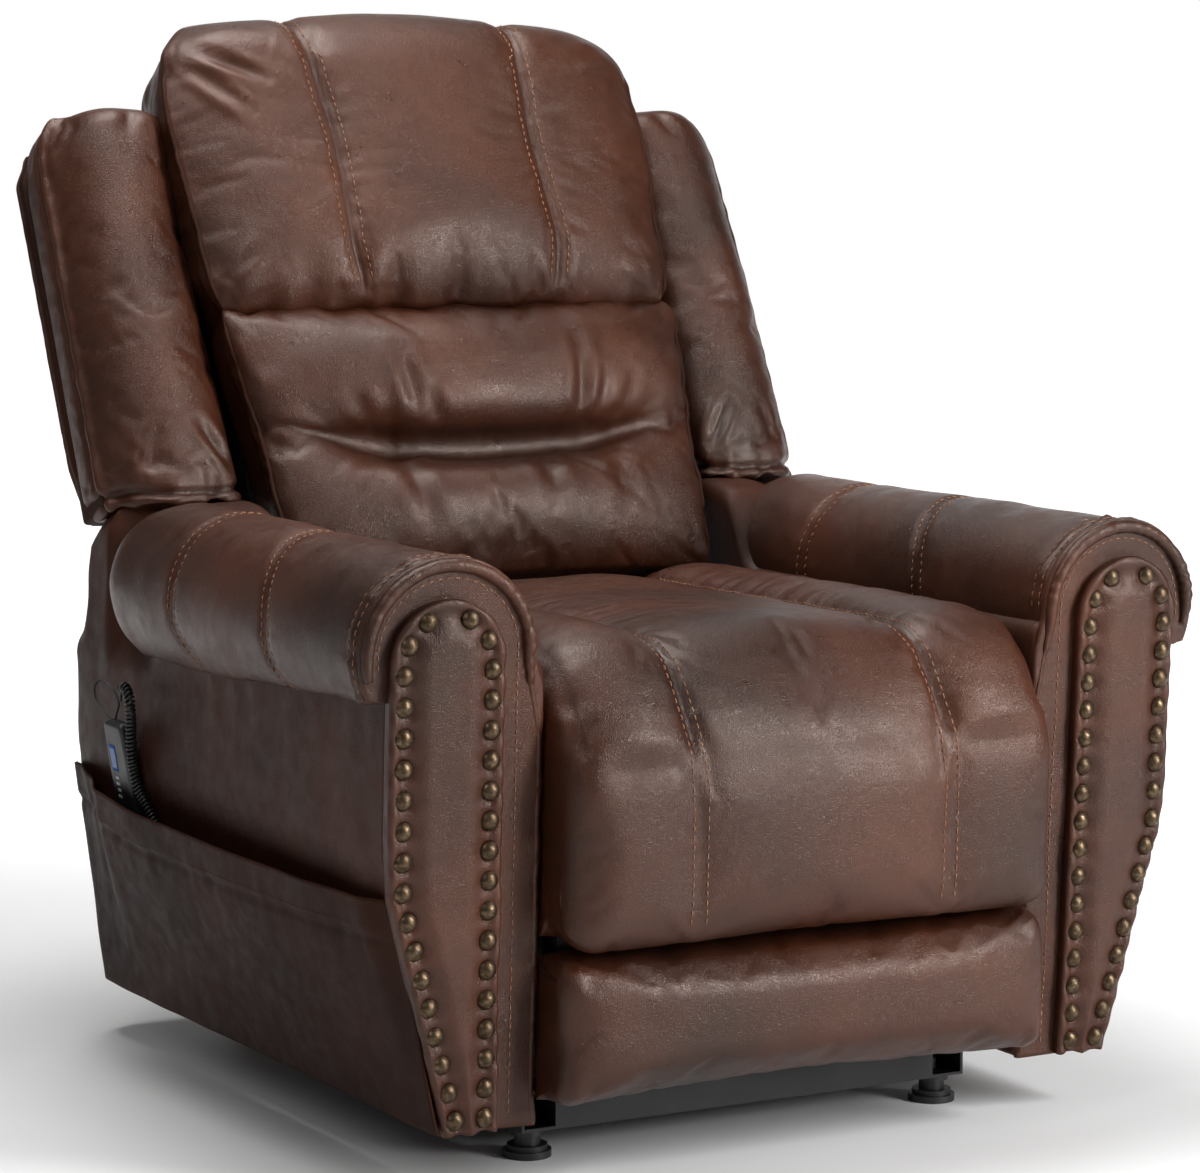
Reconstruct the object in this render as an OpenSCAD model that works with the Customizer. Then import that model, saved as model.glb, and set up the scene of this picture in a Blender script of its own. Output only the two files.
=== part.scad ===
// Powered lift recliner chair.
// Millimetres, +Z up, the chair faces -Y, the floor is Z = 0 and the origin is
// the centre of the footprint. "Left" and "right" are the sitter's own.

/* [Overall] */
// Width across the outside of the two arm rolls
overall_w = 934; // [920:2:950]
// Clear width between the arms
seat_gap = 552; // [546:2:560]
// Height of the top of the seat cushion
seat_top = 505; // [500:1:510]
// Lean of the backrest from upright in its stored position, in degrees
back_lean = 27; // [26:0.5:28]
// Length of the backrest from its hinge to the top of the headrest
back_len = 740; // [720:5:745]

/* [Arms] */
// Radius of the rolled arm top
roll_r = 91; // [88:1:92]
// Height of the top of the arm roll
arm_top = 607; // [604:1:610]
// Lean of the arm front, in degrees
arm_rake = 3.1; // [2.5:0.1:3.5]
// Diameter of a nail head
nail_d = 17; // [12:1:18]
// Nails in each of the two columns of one arm front
nails_per_column = 18; // [10:1:18]

/* [Handset] */
// Length of the handset case
handset_len = 160; // [150:1:165]
// Width of the handset case
handset_w = 54; // [50:1:58]
// Thickness of the handset case
handset_t = 16; // [14:0.5:16]
// Outer diameter of the curly cord
curl_d = 12; // [10:0.5:12]

/* [Hidden] */

$fn = 48;
run = 0.05;         // radial clearance of a running fit
steel = "#2b2c2e";
dark = "#1d1e20";
ply = "#b08a5c";
hide = "#4b2b20";
hide_dark = "#38241c";
brass = "#7c6a50";

// Pivots in the Y-Z plane
lift_a = [-225, 98];      // lift arm to base
lift_b = [99, 149];       // lift arm to carriage
lift_c = [-270, 125];     // stay to base
lift_d = [5, 200];        // stay to carriage, the linkage's open pivot
knee = [-425, 430];       // legrest hinge
hip = [200, 420];         // backrest hinge
pin_r = 8;
plate_x = 226;            // inner face of the base and carriage plates
plate_t = 5;

// Actuators: tail point, rod pin point, X position
lift_tail = [275, 105];
lift_pin = [-168, 186];
leg_tail = [90, 285];
leg_pin = [-382, 356];
leg_x = -70;
rec_tail = [-190, 290];
rec_pin = [244, 325];
rec_x = 70;
rod_r = 9;
drive_pin_r = 5;
housing_len = 300;

// Frame sizes
tube = 40;                // base tube, square
base_x = 235;             // centre of a base rail
base_front = -385;
base_rear = 330;
foot_h = 30;
rail_x = [215, 262];      // seat rail, inner and outer face
rail_z = [330, 385];
seat_half = seat_gap / 2 - 10;
arm_in = seat_gap / 2;
roll_x = overall_w / 2 - roll_r;
roll_z = arm_top - roll_r;
arm_bottom = 58;
arm_rear = 365;
arm_face = [-472, 500];   // the arm front passes through this Y-Z point
flank_x = 437;            // outer face of a side panel where it is upright
flank_foot_x = 378;       // the same at the arm's bottom
flank_z = 330;            // the side panel leans in below this height
hip_clear_r = 181;        // arms stay inside this radius about the backrest hinge
hip_wing_r = 186;         // wings stay outside this one

// ---------- helpers ----------
module left_and_right() {
    children();
    mirror([1, 0, 0]) children();
}

// Box from two corners
module box(lo, hi) {
    translate(lo) cube(hi - lo);
}

// Cylinder along X through a Y-Z point
module bar_x(yz, x0, x1, r) {
    translate([x0, yz[0], yz[1]]) rotate([0, 90, 0]) cylinder(h = x1 - x0, r = r);
}

// 2D outline in Y-Z, extruded from x0 to x1
module along_x(x0, x1) {
    translate([x0, 0, 0]) rotate([90, 0, 90]) linear_extrude(x1 - x0) children();
}

// 2D outline in X-Z, extruded from y0 to y1
module along_y(y0, y1) {
    translate([0, y1, 0]) rotate([90, 0, 0]) linear_extrude(y1 - y0) children();
}

// Flat link between two Y-Z points, as a 2D outline with round ends
module link(a, b, w) {
    d = b - a;
    translate(a) circle(w / 2);
    translate(b) circle(w / 2);
    translate(a) rotate(atan2(d[1], d[0])) translate([0, -w / 2]) square([norm(d), w]);
}

// Radial slot in a crank about pivot p: room for a pin at q and its travel in and out
module crank_slot(p, q, inward, outward, half_w) {
    d = (q - p) / norm(q - p);
    link(q - d * inward, q + d * outward, 2 * half_w);
}

// Moves a part drawn from [0, 0, 0] along +Y onto the line from a to b
module on_line(x, a, b) {
    d = b - a;
    translate([x, a[0], a[1]]) rotate([atan2(d[1], d[0]), 0, 0]) children();
}

// The backrest's own frame: hinge at the origin, Z up along the back, -Y to the sitter
module back_place() {
    translate([0, hip[0], hip[1]]) rotate([-back_lean, 0, 0]) children();
}

// The arm front's own frame: Y = 0 is the raked face, Z = 0 is arm_face's height
module arm_face_place() {
    translate([0, arm_face[0], arm_face[1]]) rotate([arm_rake, 0, 0]) children();
}

// ---------- actuators ----------
module actuator_housing(side) {
    gear = [56, 62, 52];
    motor_r = 23;
    motor_off = 52;
    motor_len = 110;
    tube_r = 19;
    difference() {
        union() {
            rotate([-90, 0, 0]) cylinder(h = housing_len, r = tube_r);
            translate([-gear[0] / 2, 6, -gear[2] / 2]) cube(gear);
            translate([side * motor_off / 2 - motor_off / 2 - 4, 6, -gear[2] / 2])
                cube([motor_off + 8, gear[1], gear[2]]);
            translate([side * motor_off, gear[1], 0]) rotate([-90, 0, 0])
                cylinder(h = motor_len, r = motor_r);
        }
        translate([0, 15, 0]) rotate([-90, 0, 0]) cylinder(h = housing_len, r = rod_r + run);
    }
}

// Rod from s0 to the pin at s1, with its eye and cross pin
module actuator_rod(s0, s1) {
    translate([0, s0, 0]) rotate([-90, 0, 0]) cylinder(h = s1 - s0 - 6, r = rod_r);
    translate([-10, s1, 0]) rotate([0, 90, 0]) cylinder(h = 20, r = 12);
    translate([-22, s1, 0]) rotate([0, 90, 0]) cylinder(h = 44, r = drive_pin_r);
}

// Crank of two cheeks on a shaft, slotted for the rod's cross pin
module crank(x, p, q, shaft_r, inward, outward, half_w) {
    for (x0 = [x - 18, x + 12])
        along_x(x0, x0 + 6) difference() {
            d = (q - p) / norm(q - p);
            union() {
                link(p, q + d * outward, 32);
                translate(p) circle(shaft_r + 9);
            }
            crank_slot(p, q, inward, outward, half_w);
            translate(p) circle(shaft_r);
        }
}

// ---------- base ----------
module base_rails() {
    color(dark) left_and_right() difference() {
        box([base_x - tube / 2, base_front, foot_h], [base_x + tube / 2, base_rear, foot_h + tube]);
        box([base_x - tube / 2 + 3, base_front - 1, foot_h + 3],
            [base_x + tube / 2 - 3, base_rear + 1, foot_h + tube - 3]);
        for (y = foot_y()) translate([base_x, y, foot_h - 1]) cylinder(h = 5, r = 5 + run);
    }
}

function foot_y() = [base_front + 28, base_rear - 28];

module base_crossbars() {
    inner = base_x - tube / 2;
    color(dark) {
        box([-inner, base_front, foot_h], [inner, base_front + tube, foot_h + tube]);
        box([-inner, base_rear - tube, foot_h], [inner, base_rear, foot_h + tube]);
        box([-18, lift_tail[0] + 4, foot_h + tube], [18, lift_tail[0] + 32, 128]);
    }
}

module levelling_feet() {
    color(dark) left_and_right() for (y = foot_y()) translate([base_x, y, 0]) {
        cylinder(h = 7, r = 24);
        translate([0, 0, 7]) cylinder(h = 5, r = 20);
        translate([0, 0, 12]) cylinder(h = 10, r = 13);
        translate([0, 0, 22]) cylinder(h = foot_h - 22.1, r = 17);
        translate([0, 0, 22]) cylinder(h = 22, r = 5);
    }
}

module lift_pivot_plates() {
    color(steel) left_and_right() along_x(plate_x, plate_x + plate_t) difference() {
        polygon([[-306, 70], [-190, 70], [-198, 112], [-216, 126], [-252, 148], [-288, 148],
            [-306, 120]]);
        translate(lift_a) circle(12.5 + run);
        translate(lift_c) circle(pin_r);
    }
}

module lift_motor() {
    color(dark) on_line(0, lift_tail, lift_pin) actuator_housing(1);
}

supply_lo = [95, 286, 70];
supply_hi = [205, 329, 116];

module power_supply() {
    color(dark) difference() {
        box(supply_lo, supply_hi);
        box([132, 318, 82], [168, 331, 104]);
    }
}

module power_inlet() {
    color("#3a3b3d") {
        difference() {
            box([132.2, 318.2, 82.2], [167.8, 330, 103.8]);
            box([138, 321, 86], [162, 331, 100]);
        }
        for (x = [145, 155]) translate([x, 320, 93]) rotate([-90, 0, 0]) cylinder(h = 8, r = 1.6);
    }
}

// ---------- lift linkage ----------
module lift_torque_shaft() {
    color(steel) {
        bar_x(lift_a, -250, 250, 12.5);
        crank(0, lift_a, lift_pin, 12.5, 15.5, 9, 7.6);
    }
}

module lift_arms() {
    color(steel) left_and_right() along_x(plate_x + plate_t + 3, plate_x + plate_t + 11)
        difference() {
            link(lift_a, lift_b, 36);
            translate(lift_a) circle(12.5 + run);
            translate(lift_b) circle(pin_r + run);
        }
}

module lift_stays() {
    color(steel) left_and_right() {
        along_x(plate_x - 11, plate_x - 3) difference() {
            hull() {
                translate(lift_c) circle(15);
                translate(lift_d) circle(16);
            }
            translate(lift_d) circle(pin_r + 3);
        }
        bar_x(lift_c, plate_x - 2.9, plate_x + plate_t + 2, pin_r - run);
    }
}

module lift_rod() {
    color("#8d9093") on_line(0, lift_tail, lift_pin) actuator_rod(180, norm(lift_pin - lift_tail));
}

// ---------- seat frame ----------
module carriage_plates() {
    color(steel) left_and_right() along_x(plate_x, plate_x + plate_t) difference() {
        polygon([[-40, 330], [-18, 196], [74, 137], [124, 137], [150, 330]]);
        translate(lift_b) circle(pin_r);
        translate(lift_d) circle(pin_r);
    }
}

module carriage_pins() {
    color("#8d9093") left_and_right() {
        bar_x(lift_b, plate_x, plate_x + plate_t + 14, pin_r);
        bar_x(lift_d, plate_x - 14, plate_x + plate_t, pin_r);
    }
}

module seat_rails() {
    color(steel) left_and_right()
        union() {
            box([rail_x[0], -395, rail_z[0]], [rail_x[1], 330, rail_z[1]]);
            for (y = [-320, 60]) box([rail_x[0], y, rail_z[0] + 8], [arm_in, y + 40, rail_z[1] - 8]);
        }
}

module seat_crossrails() {
    w = rail_x[1];
    color(steel) {
        box([-w, -345, 300], [w, -315, rail_z[0]]);
        box([-w, 300, 300], [w, 330, rail_z[0]]);
        for (y = [-355, 100]) box([-w, y, rail_z[1]], [w, y + 20, rail_z[1] + 11]);
    }
}

// Flat zigzag spring in X-Y from y0 to y1
module zigzag(y0, y1, waves, half_w, wire) {
    pitch = (y1 - y0) / (2 * waves);
    side = [for (k = [0:2 * waves]) (k % 2 == 0 ? -1 : 1) * half_w];
    for (k = [0:2 * waves - 1]) {
        y = y0 + k * pitch;
        translate([side[k] - wire / 2, y, 0]) cube([wire, pitch + wire, wire]);
        if (k < 2 * waves - 1) translate([-half_w, y + pitch, 0]) cube([2 * half_w, wire, wire]);
    }
}

module seat_springs() {
    color("#77797c") for (x = [-200:80:200])
        translate([x, 0, rail_z[1] + 4]) zigzag(-334.5, 99.5 - 4, 9, 22, 4);
}

module motor_bars() {
    color(steel) {
        box([-rail_x[1], rec_tail[0] - 23, 275], [rail_x[1], rec_tail[0] - 3, 305]);
        left_and_right()
            box([rail_x[0] + 11, rec_tail[0] - 23, 305], [rail_x[1], rec_tail[0] - 3, rail_z[0]]);
        box([-plate_x, leg_tail[0] + 4, 262], [plate_x, leg_tail[0] + 24, 290]);
    }
}

module back_hinge_plates() {
    color(steel) left_and_right() along_x(rail_x[1] + 1, rail_x[1] + 7) difference() {
        union() {
            link([hip[0], rail_z[0] + 25], hip, 56);
            translate([hip[0] - 45, rail_z[0] - 45]) square([90, 80]);
        }
        translate(hip) circle(12 + run);
    }
}

module legrest_hinge_plates() {
    color(steel) left_and_right() along_x(250, 256) difference() {
        union() {
            translate([-446, 345]) square([51, 86]);
            translate([-421.5, 421]) circle(25);
        }
        translate(knee) circle(11 + run);
    }
}

module legrest_motor() {
    color(dark) on_line(leg_x, leg_tail, leg_pin) actuator_housing(-1);
}

module recline_motor() {
    color(dark) on_line(rec_x, rec_tail, rec_pin) actuator_housing(1);
}

module seat_cushion() {
    color(hide) along_x(-seat_half, seat_half) union() {
        polygon([[-336, 402], [112, 402], [118, seat_top], [-415, seat_top], [-440, seat_top - 25],
            [-440, 456], [-390, 456], [-390, 436]]);
        translate([-415, seat_top - 25]) circle(25);
    }
}

module seat_rear_panel() {
    top = rail_z[1] + 10;
    color(hide_dark) along_x(-arm_in + 1, arm_in - 1)
        polygon([[352, 60], [362, 60], [362, top], [300, top], [300, rail_z[1]], [352, rail_z[1]]]);
}

// ---------- arms, drawn on the sitter's left ----------
// Side view of an arm: square at the front, rounded about the backrest hinge at the rear
module arm_side_outline() {
    polygon([[-520, arm_bottom], [arm_rear, arm_bottom], [arm_rear, hip[1]], hip, [hip[0], 620],
        [-520, 620]]);
    intersection() {
        translate(hip) circle(hip_clear_r, $fn = 96);
        translate(hip) square([arm_rear - hip[0], hip_clear_r]);
    }
}

// Plan of an arm: the rear outer corner is cut off
module arm_plan() {
    translate([0, 0, -10]) linear_extrude(700)
        polygon([[0, -520], [480, -520], [480, 285], [400, arm_rear], [0, arm_rear]]);
}

// Everything behind the raked arm front
module behind_arm_face() {
    arm_face_place() box([0, 0, -600], [600, 1000, 300]);
}

module arm_body() {
    slot = 0.5;
    difference() {
        intersection() {
            union() {
                intersection() {
                    along_y(-500, arm_rear)
                        polygon([[arm_in, arm_bottom], [flank_foot_x - 12, arm_bottom],
                            [flank_x - 12, flank_z], [flank_x - 12, 438], [roll_x, roll_z],
                            [roll_x - roll_r, roll_z], [arm_in, roll_z - 40]]);
                    along_x(0, 500) arm_side_outline();
                }
                translate([roll_x, 130, roll_z]) rotate([90, 0, 0])
                    cylinder(h = 640, r = roll_r, $fn = 96);
                translate([roll_x, 130, roll_z]) sphere(roll_r, $fn = 96);
            }
            behind_arm_face();
            arm_plan();
        }
        box([299.5, -430 - slot, 0], [318 + slot, 300 + slot, 460 + slot]);
    }
}

module arm_left() { color(hide) arm_body(); }
module arm_right() { color(hide) mirror([1, 0, 0]) arm_body(); }

module arm_frames() {
    color(ply) left_and_right() box([300, -430, arm_bottom + 4], [318, 300, 460]);
}

module flank() {
    intersection() {
        along_y(-500, arm_rear)
            polygon([[flank_foot_x - 11.5, arm_bottom], [flank_foot_x, arm_bottom],
                [flank_x, flank_z], [flank_x, 438], [flank_x - 11.5, 438],
                [flank_x - 11.5, flank_z]]);
        along_x(0, 500) arm_side_outline();
        behind_arm_face();
        arm_plan();
    }
}

module side_panel_left() { color(hide_dark) flank(); }
module side_panel_right() { color(hide_dark) mirror([1, 0, 0]) flank(); }

panel_c = [380, 10];      // centre of the front panel's round top, in the arm front's frame
panel_r = 58;
panel_t = 14;

// Front panel outline in the arm front's X-Z
module panel_outline() {
    translate(panel_c) circle(panel_r, $fn = 72);
    polygon([[panel_c[0] - panel_r, panel_c[1]], [panel_c[0] - panel_r, -170], [320, -440],
        [376, -440], [414, -290], [panel_c[0] + panel_r - 3, -210], [panel_c[0] + panel_r, -150],
        [panel_c[0] + panel_r, panel_c[1]]]);
}

module arm_front_panels() {
    color(hide) left_and_right() arm_face_place()
        along_y(-panel_t - 0.2, -0.2) panel_outline();
}

// Nail path up one edge of the panel and round to its top centre
nail_in = 13;
function nail_arc(side) = [for (a = [0:10:80])
    panel_c + (panel_r - nail_in) * [side * cos(a), sin(a)]];
function nail_path(side) = side < 0
    ? concat([[panel_c[0] - panel_r + nail_in - 1, -427]], nail_arc(side))
    : concat([[365, -427], [402, -288], [panel_c[0] + panel_r - nail_in - 2, -210]],
        nail_arc(side));
function path_len(p, i = 0) = i >= len(p) - 1 ? 0 : norm(p[i + 1] - p[i]) + path_len(p, i + 1);
function at_len(p, s, i = 0) =
    let (d = norm(p[i + 1] - p[i]))
    s <= d || i >= len(p) - 2 ? p[i] + (p[i + 1] - p[i]) * s / d : at_len(p, s - d, i + 1);

module nail() {
    dome_r = nail_d * 0.62;
    intersection() {
        translate([0, dome_r - 5.5, 0]) sphere(dome_r, $fn = 24);
        box([-nail_d, -12, -nail_d], [nail_d, 0, nail_d]);
    }
}

module nailheads() {
    color(brass) left_and_right() arm_face_place() for (side = [-1, 1]) {
        p = nail_path(side);
        step = path_len(p) / (nails_per_column - 0.5);
        for (k = [0:nails_per_column - 1]) {
            q = at_len(p, k * step);
            translate([q[0], -panel_t - 0.4, q[1]]) nail();
        }
    }
}

module arm_welts() {
    ring_r = roll_r - 8;
    bead = 7;
    rim_z = roll_z - arm_face[1];
    color(hide_dark) left_and_right() arm_face_place() translate([0, -bead - 0.3, 0]) {
        translate([roll_x, 0, rim_z]) rotate([90, 0, 0]) rotate([0, 0, -18])
            rotate_extrude(angle = 198, $fn = 96) translate([ring_r, 0]) circle(bead, $fn = 20);
        translate([roll_x - ring_r, 0, -436]) cylinder(h = 435.9 + rim_z, r = bead, $fn = 20);
    }
}

// ---------- pocket, cord and handset, on the sitter's right ----------
function flank_at(z) = flank_foot_x + (flank_x - flank_foot_x) * (z - arm_bottom)
    / (flank_z - arm_bottom);
pocket_z = [62, 288];
pocket_x = [390, 463];    // inner face of the pocket's sheet at the bottom and the mouth
pocket_y = [-430, 305];

module handset_pocket() {
    t = 3.5;
    gap = 0.4;
    sheet = [[pocket_x[0], pocket_z[0]], [pocket_x[0] + t, pocket_z[0]],
        [pocket_x[1] + t, pocket_z[1]], [pocket_x[1], pocket_z[1]]];
    end = [[flank_at(pocket_z[0]) + gap, pocket_z[0]], sheet[1], sheet[2],
        [flank_at(pocket_z[1]) + gap, pocket_z[1]]];
    floor_z = pocket_z[0] + t;
    floor_x = pocket_x[0] + (pocket_x[1] - pocket_x[0]) * t / (pocket_z[1] - pocket_z[0]);
    color(hide_dark) mirror([1, 0, 0]) {
        along_y(pocket_y[0], pocket_y[1]) union() {
            polygon(sheet);
            polygon([end[0], [pocket_x[0] + 1, pocket_z[0]], [floor_x + 1, floor_z],
                [flank_at(floor_z) + gap, floor_z]]);
        }
        along_y(pocket_y[0], pocket_y[0] + t) polygon(end);
        along_y(pocket_y[1] - t, pocket_y[1]) polygon(end);
    }
}

// The handset's own frame: bottom centre of the case, Z along it, -X is its face
handset_foot = [-429, 160, 218];
handset_tilt = 9.5;
gland_len = 22;
gland_y = -20;

module handset_place() {
    translate(handset_foot) rotate([0, -handset_tilt, 0]) children();
}

button_r = 6;
button_rise = 1.6;
function button_at() = [[-11, 30], [11, 30], [-11, 52], [11, 52]];

module handset_case() {
    corner = 8;
    color(dark) handset_place() difference() {
        union() {
            difference() {
                translate([-handset_t / 2, 0, 0]) rotate([90, 0, 90])
                    linear_extrude(handset_t) union() {
                        translate([-handset_w / 2, corner]) square([handset_w, handset_len - 30]);
                        translate([-handset_w / 2 + corner, 0])
                            square([handset_w - 2 * corner, corner]);
                        for (y = [-1, 1]) translate([y * (handset_w / 2 - corner), corner])
                            circle(corner);
                        polygon([[-handset_w / 2, handset_len - 22],
                            [handset_w / 2, handset_len - 22], [18, handset_len],
                            [-handset_w / 2, handset_len]]);
                    }
            }
            translate([0, gland_y, handset_len]) cylinder(h = gland_len, r1 = 6, r2 = 4);
        }
        for (q = button_at()) translate([-handset_t / 2 - 1, q[0], q[1]]) rotate([0, 90, 0])
            cylinder(h = 6, r = button_r + 0.2);
    }
}

module handset_label() {
    color("#2a62b8") handset_place()
        box([-handset_t / 2 - 0.5, 2, 104], [-handset_t / 2 - 0.05, 14, 128]);
}

// Flat wrist loop above the case
module handset_strap() {
    r = 21;
    strap_r = 2;
    color(dark) handset_place() translate([0, 13, handset_len + r + strap_r + 0.1])
        rotate([0, 90, 0]) rotate_extrude($fn = 64) translate([r, 0]) circle(strap_r, $fn = 16);
}

module button(k) {
    q = button_at()[k];
    color("#8f9499") handset_place() translate([-handset_t / 2 - button_rise, q[0], q[1]])
        rotate([0, 90, 0]) cylinder(h = 4, r = button_r);
}

grommet = [0, 140];     // Y, Z of the hole where the cord goes into the side panel

module cord_grommet() {
    x = -flank_at(grommet[1]) - 3;
    color(dark) translate([x - 5, grommet[0], grommet[1]]) rotate([0, 90, 0]) cylinder(h = 5, r = 9);
}

// Centreline of the curly cord, from the handset's gland to the grommet
cord_route = [[-459.3, 140, 399.5], [-459.5, 139, 406], [-460, 134, 413], [-460, 126, 416],
    [-460, 118, 413], [-460, 112, 405], [-459.5, 111, 392], [-458, 114, 372], [-456, 118, 350],
    [-453, 121, 330], [-450, 114, 309], [-447, 96, 289], [-439, 70, 260], [-430, 45, 230],
    [-421.5, 24, 200], [-415, 10, 175], [-410, 3, 157], [-407, 0, 147], [-404.2, 0, 140]];

function catmull(p, i, t) =
    let (a = p[max(i - 1, 0)], b = p[i], c = p[i + 1], d = p[min(i + 2, len(p) - 1)])
    0.5 * ((2 * b) + (c - a) * t + (2 * a - 5 * b + 4 * c - d) * t * t
        + (3 * b - a - 3 * c + d) * t * t * t);

// Tube swept along points, with rings of n sides held level with X
module tube_along(p, r, n) {
    last = len(p) - 1;
    rings = [for (i = [0:last])
        let (t = (p[min(i + 1, last)] - p[max(i - 1, 0)]), u = t / norm(t),
            v = cross(u, [1, 0, 0]), e = v / norm(v), f = cross(u, e))
        for (k = [0:n - 1]) p[i] + r * (cos(360 * k / n) * e + sin(360 * k / n) * f)];
    sides = [for (i = [0:last - 1], k = [0:n - 1])
        [i * n + k, i * n + (k + 1) % n, (i + 1) * n + (k + 1) % n, (i + 1) * n + k]];
    polyhedron(rings, concat([[for (k = [n - 1:-1:0]) k]], sides,
        [[for (k = [0:n - 1]) last * n + k]]), convexity = 4);
}

module handset_cord() {
    steps = 2;
    p = [for (i = [0:len(cord_route) - 2], k = [0:steps - 1]) catmull(cord_route, i, k / steps)];
    color(dark) tube_along(concat(p, [cord_route[len(cord_route) - 1]]), curl_d / 2, 10);
}

// ---------- backrest, drawn in its own frame ----------
post_x = [225, 255];
head_w = 372;             // height of the crease between headrest and lumbar cushion
head_hinge = [10, 366];
shell_v = [22.2, 42.2];   // front and rear face of the back shell
wing_x = [288, 436];      // inner and outer face of a wing

module back_posts() {
    color(ply) back_place() left_and_right() difference() {
        union() {
            box([post_x[0], -18, -25], [post_x[1], shell_v[0], 350]);
            along_x(244, 250) link([10, 340], head_hinge, 22);
        }
        bar_x([0, 0], 200, 280, 12 + run);
        bar_x(head_hinge, 200, 280, 4 + run);
    }
}

module back_rails() {
    color(ply) back_place() for (w = [[42, 74], [315, 345]])
        box([-post_x[0], -18, w[0]], [post_x[0], 18, w[1]]);
}

module recline_torque_tube() {
    color(steel) {
        bar_x(hip, -270, 270, 12);
        crank(rec_x, hip, rec_pin, 12, 8.4, 4, 6.3);
    }
}

module back_shell() {
    half = [[262, 21], [262, 190], [wing_x[1] - 6, 190], [wing_x[1], 260],
        [wing_x[1] - 6, 610], [410, 640], [300, 648], [285, 655]];
    left = [for (k = [len(half) - 1:-1:0]) [-half[k][0], half[k][1]]];
    color(hide_dark) back_place() along_y(shell_v[0], shell_v[1]) polygon(concat(half, left));
}

module wing() {
    back_place() difference() {
        along_x(wing_x[0], wing_x[1]) union() {
            polygon([[20, 150], [20, 600], [-10, 634], [-60, 634], [-91, 603], [-91, 150]]);
            translate([-60, 603]) circle(31);
        }
        bar_x([0, 0], 200, 460, hip_wing_r, $fn = 96);
    }
}

module wing_left() { color(hide) wing(); }
module wing_right() { color(hide) mirror([1, 0, 0]) wing(); }

module back_pad(half_w, w0, w1, depth) {
    edge = 30;
    back_place() along_x(-half_w, half_w)
        polygon([[-22, w0], [-depth + edge, w0], [-depth, w0 + edge], [-depth, w1 - edge],
            [-depth + edge, w1], [-22, w1]]);
}

module lower_back_cushion() { color(hide) back_pad(262, 46, 203, 150); }
module lumbar_cushion() { color(hide) back_pad(272, 207, 362, 152); }

module headrest_motor() {
    color(dark) back_place() difference() {
        union() {
            bar_x(head_hinge, -90, 90, 10.5);
            box([-30, -4, 345.2], [30, 14, 358]);
        }
        bar_x(head_hinge, -100, 100, 4 + run);
    }
}

// ---------- headrest ----------
module headrest_board() {
    color(ply) back_place() box([-230, 4, 388], [230, 16, 690]);
}

module headrest_hinge() {
    color(steel) back_place() {
        bar_x(head_hinge, -252, 252, 4);
        left_and_right() along_x(230.1, 238) difference() {
            union() {
                link(head_hinge, [10, 450], 16);
                translate(head_hinge) circle(10);
            }
            translate(head_hinge) circle(4);
        }
    }
}

module headrest_cushion() {
    tilt_room = 22.5;
    crown = 60;
    color(hide) back_place() along_x(-284, 284) union() {
        polygon([[1, head_w + 2], [-155, head_w + 2 + 156 * tan(tilt_room)],
            [-155, back_len - crown], [-95, back_len - crown], [-95, back_len], [-30, back_len],
            [18, back_len - 42], [18, 692], [1, 692]]);
        translate([-95, back_len - crown]) circle(crown, $fn = 72);
    }
}

// ---------- legrest ----------
board_y = [-446, -434];

module legrest_board() {
    color(ply) box([-248, board_y[0], 92], [248, board_y[1], 408]);
}

module legrest_arms() {
    color(steel) left_and_right() along_x(240, 246) difference() {
        union() {
            translate(knee) circle(17.5);
            translate([board_y[1] + 0.2, 110]) square([22, 310]);
        }
        translate(knee) circle(11);
    }
}

module legrest_torque_tube() {
    color(steel) {
        bar_x(knee, -258, 258, 11);
        crank(leg_x, knee, leg_pin, 11, 18.6, 6.6, 8.8);
    }
}

module front_pad(z0, z1, front, edge) {
    along_x(-seat_half, seat_half)
        polygon([[board_y[0] - 1, z0], [front + edge, z0], [front, z0 + edge], [front, z1 - edge],
            [front + edge, z1], [board_y[0] - 1, z1]]);
}

module calf_cushion() { color(hide) front_pad(233, 412, -535, 34); }
module foot_cushion() { color(hide) front_pad(78, 224, -512, 26); }

module legrest_rod() {
    color("#8d9093") on_line(leg_x, leg_tail, leg_pin) actuator_rod(165, norm(leg_pin - leg_tail));
}

module recline_rod() {
    color("#8d9093") on_line(rec_x, rec_tail, rec_pin) actuator_rod(270, norm(rec_pin - rec_tail));
}

base_rails();
base_crossbars();
levelling_feet();
lift_pivot_plates();
lift_motor();
power_supply();
power_inlet();
lift_torque_shaft();
lift_arms();
lift_stays();
lift_rod();
carriage_plates();
carriage_pins();
seat_rails();
seat_crossrails();
seat_springs();
motor_bars();
back_hinge_plates();
legrest_hinge_plates();
seat_cushion();
seat_rear_panel();
arm_frames();
arm_left();
arm_right();
side_panel_left();
side_panel_right();
arm_front_panels();
nailheads();
arm_welts();
handset_pocket();
cord_grommet();
legrest_motor();
recline_motor();
handset_cord();
back_posts();
back_rails();
recline_torque_tube();
back_shell();
wing_left();
wing_right();
lower_back_cushion();
lumbar_cushion();
headrest_motor();
headrest_board();
headrest_cushion();
headrest_hinge();
legrest_board();
legrest_arms();
legrest_torque_tube();
calf_cushion();
foot_cushion();
legrest_rod();
recline_rod();
handset_case();
handset_strap();
handset_label();
button(0);  // button_up
button(1);  // button_down
button(2);  // button_head_up
button(3);  // button_head_down
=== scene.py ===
"""Power lift recliner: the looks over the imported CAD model, in metres. It faces -Y; sitter's right is -X."""

import math

import bmesh
import bpy
import numpy as np
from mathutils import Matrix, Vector
from mathutils.bvhtree import BVHTree
from numpy.linalg import norm


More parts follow.
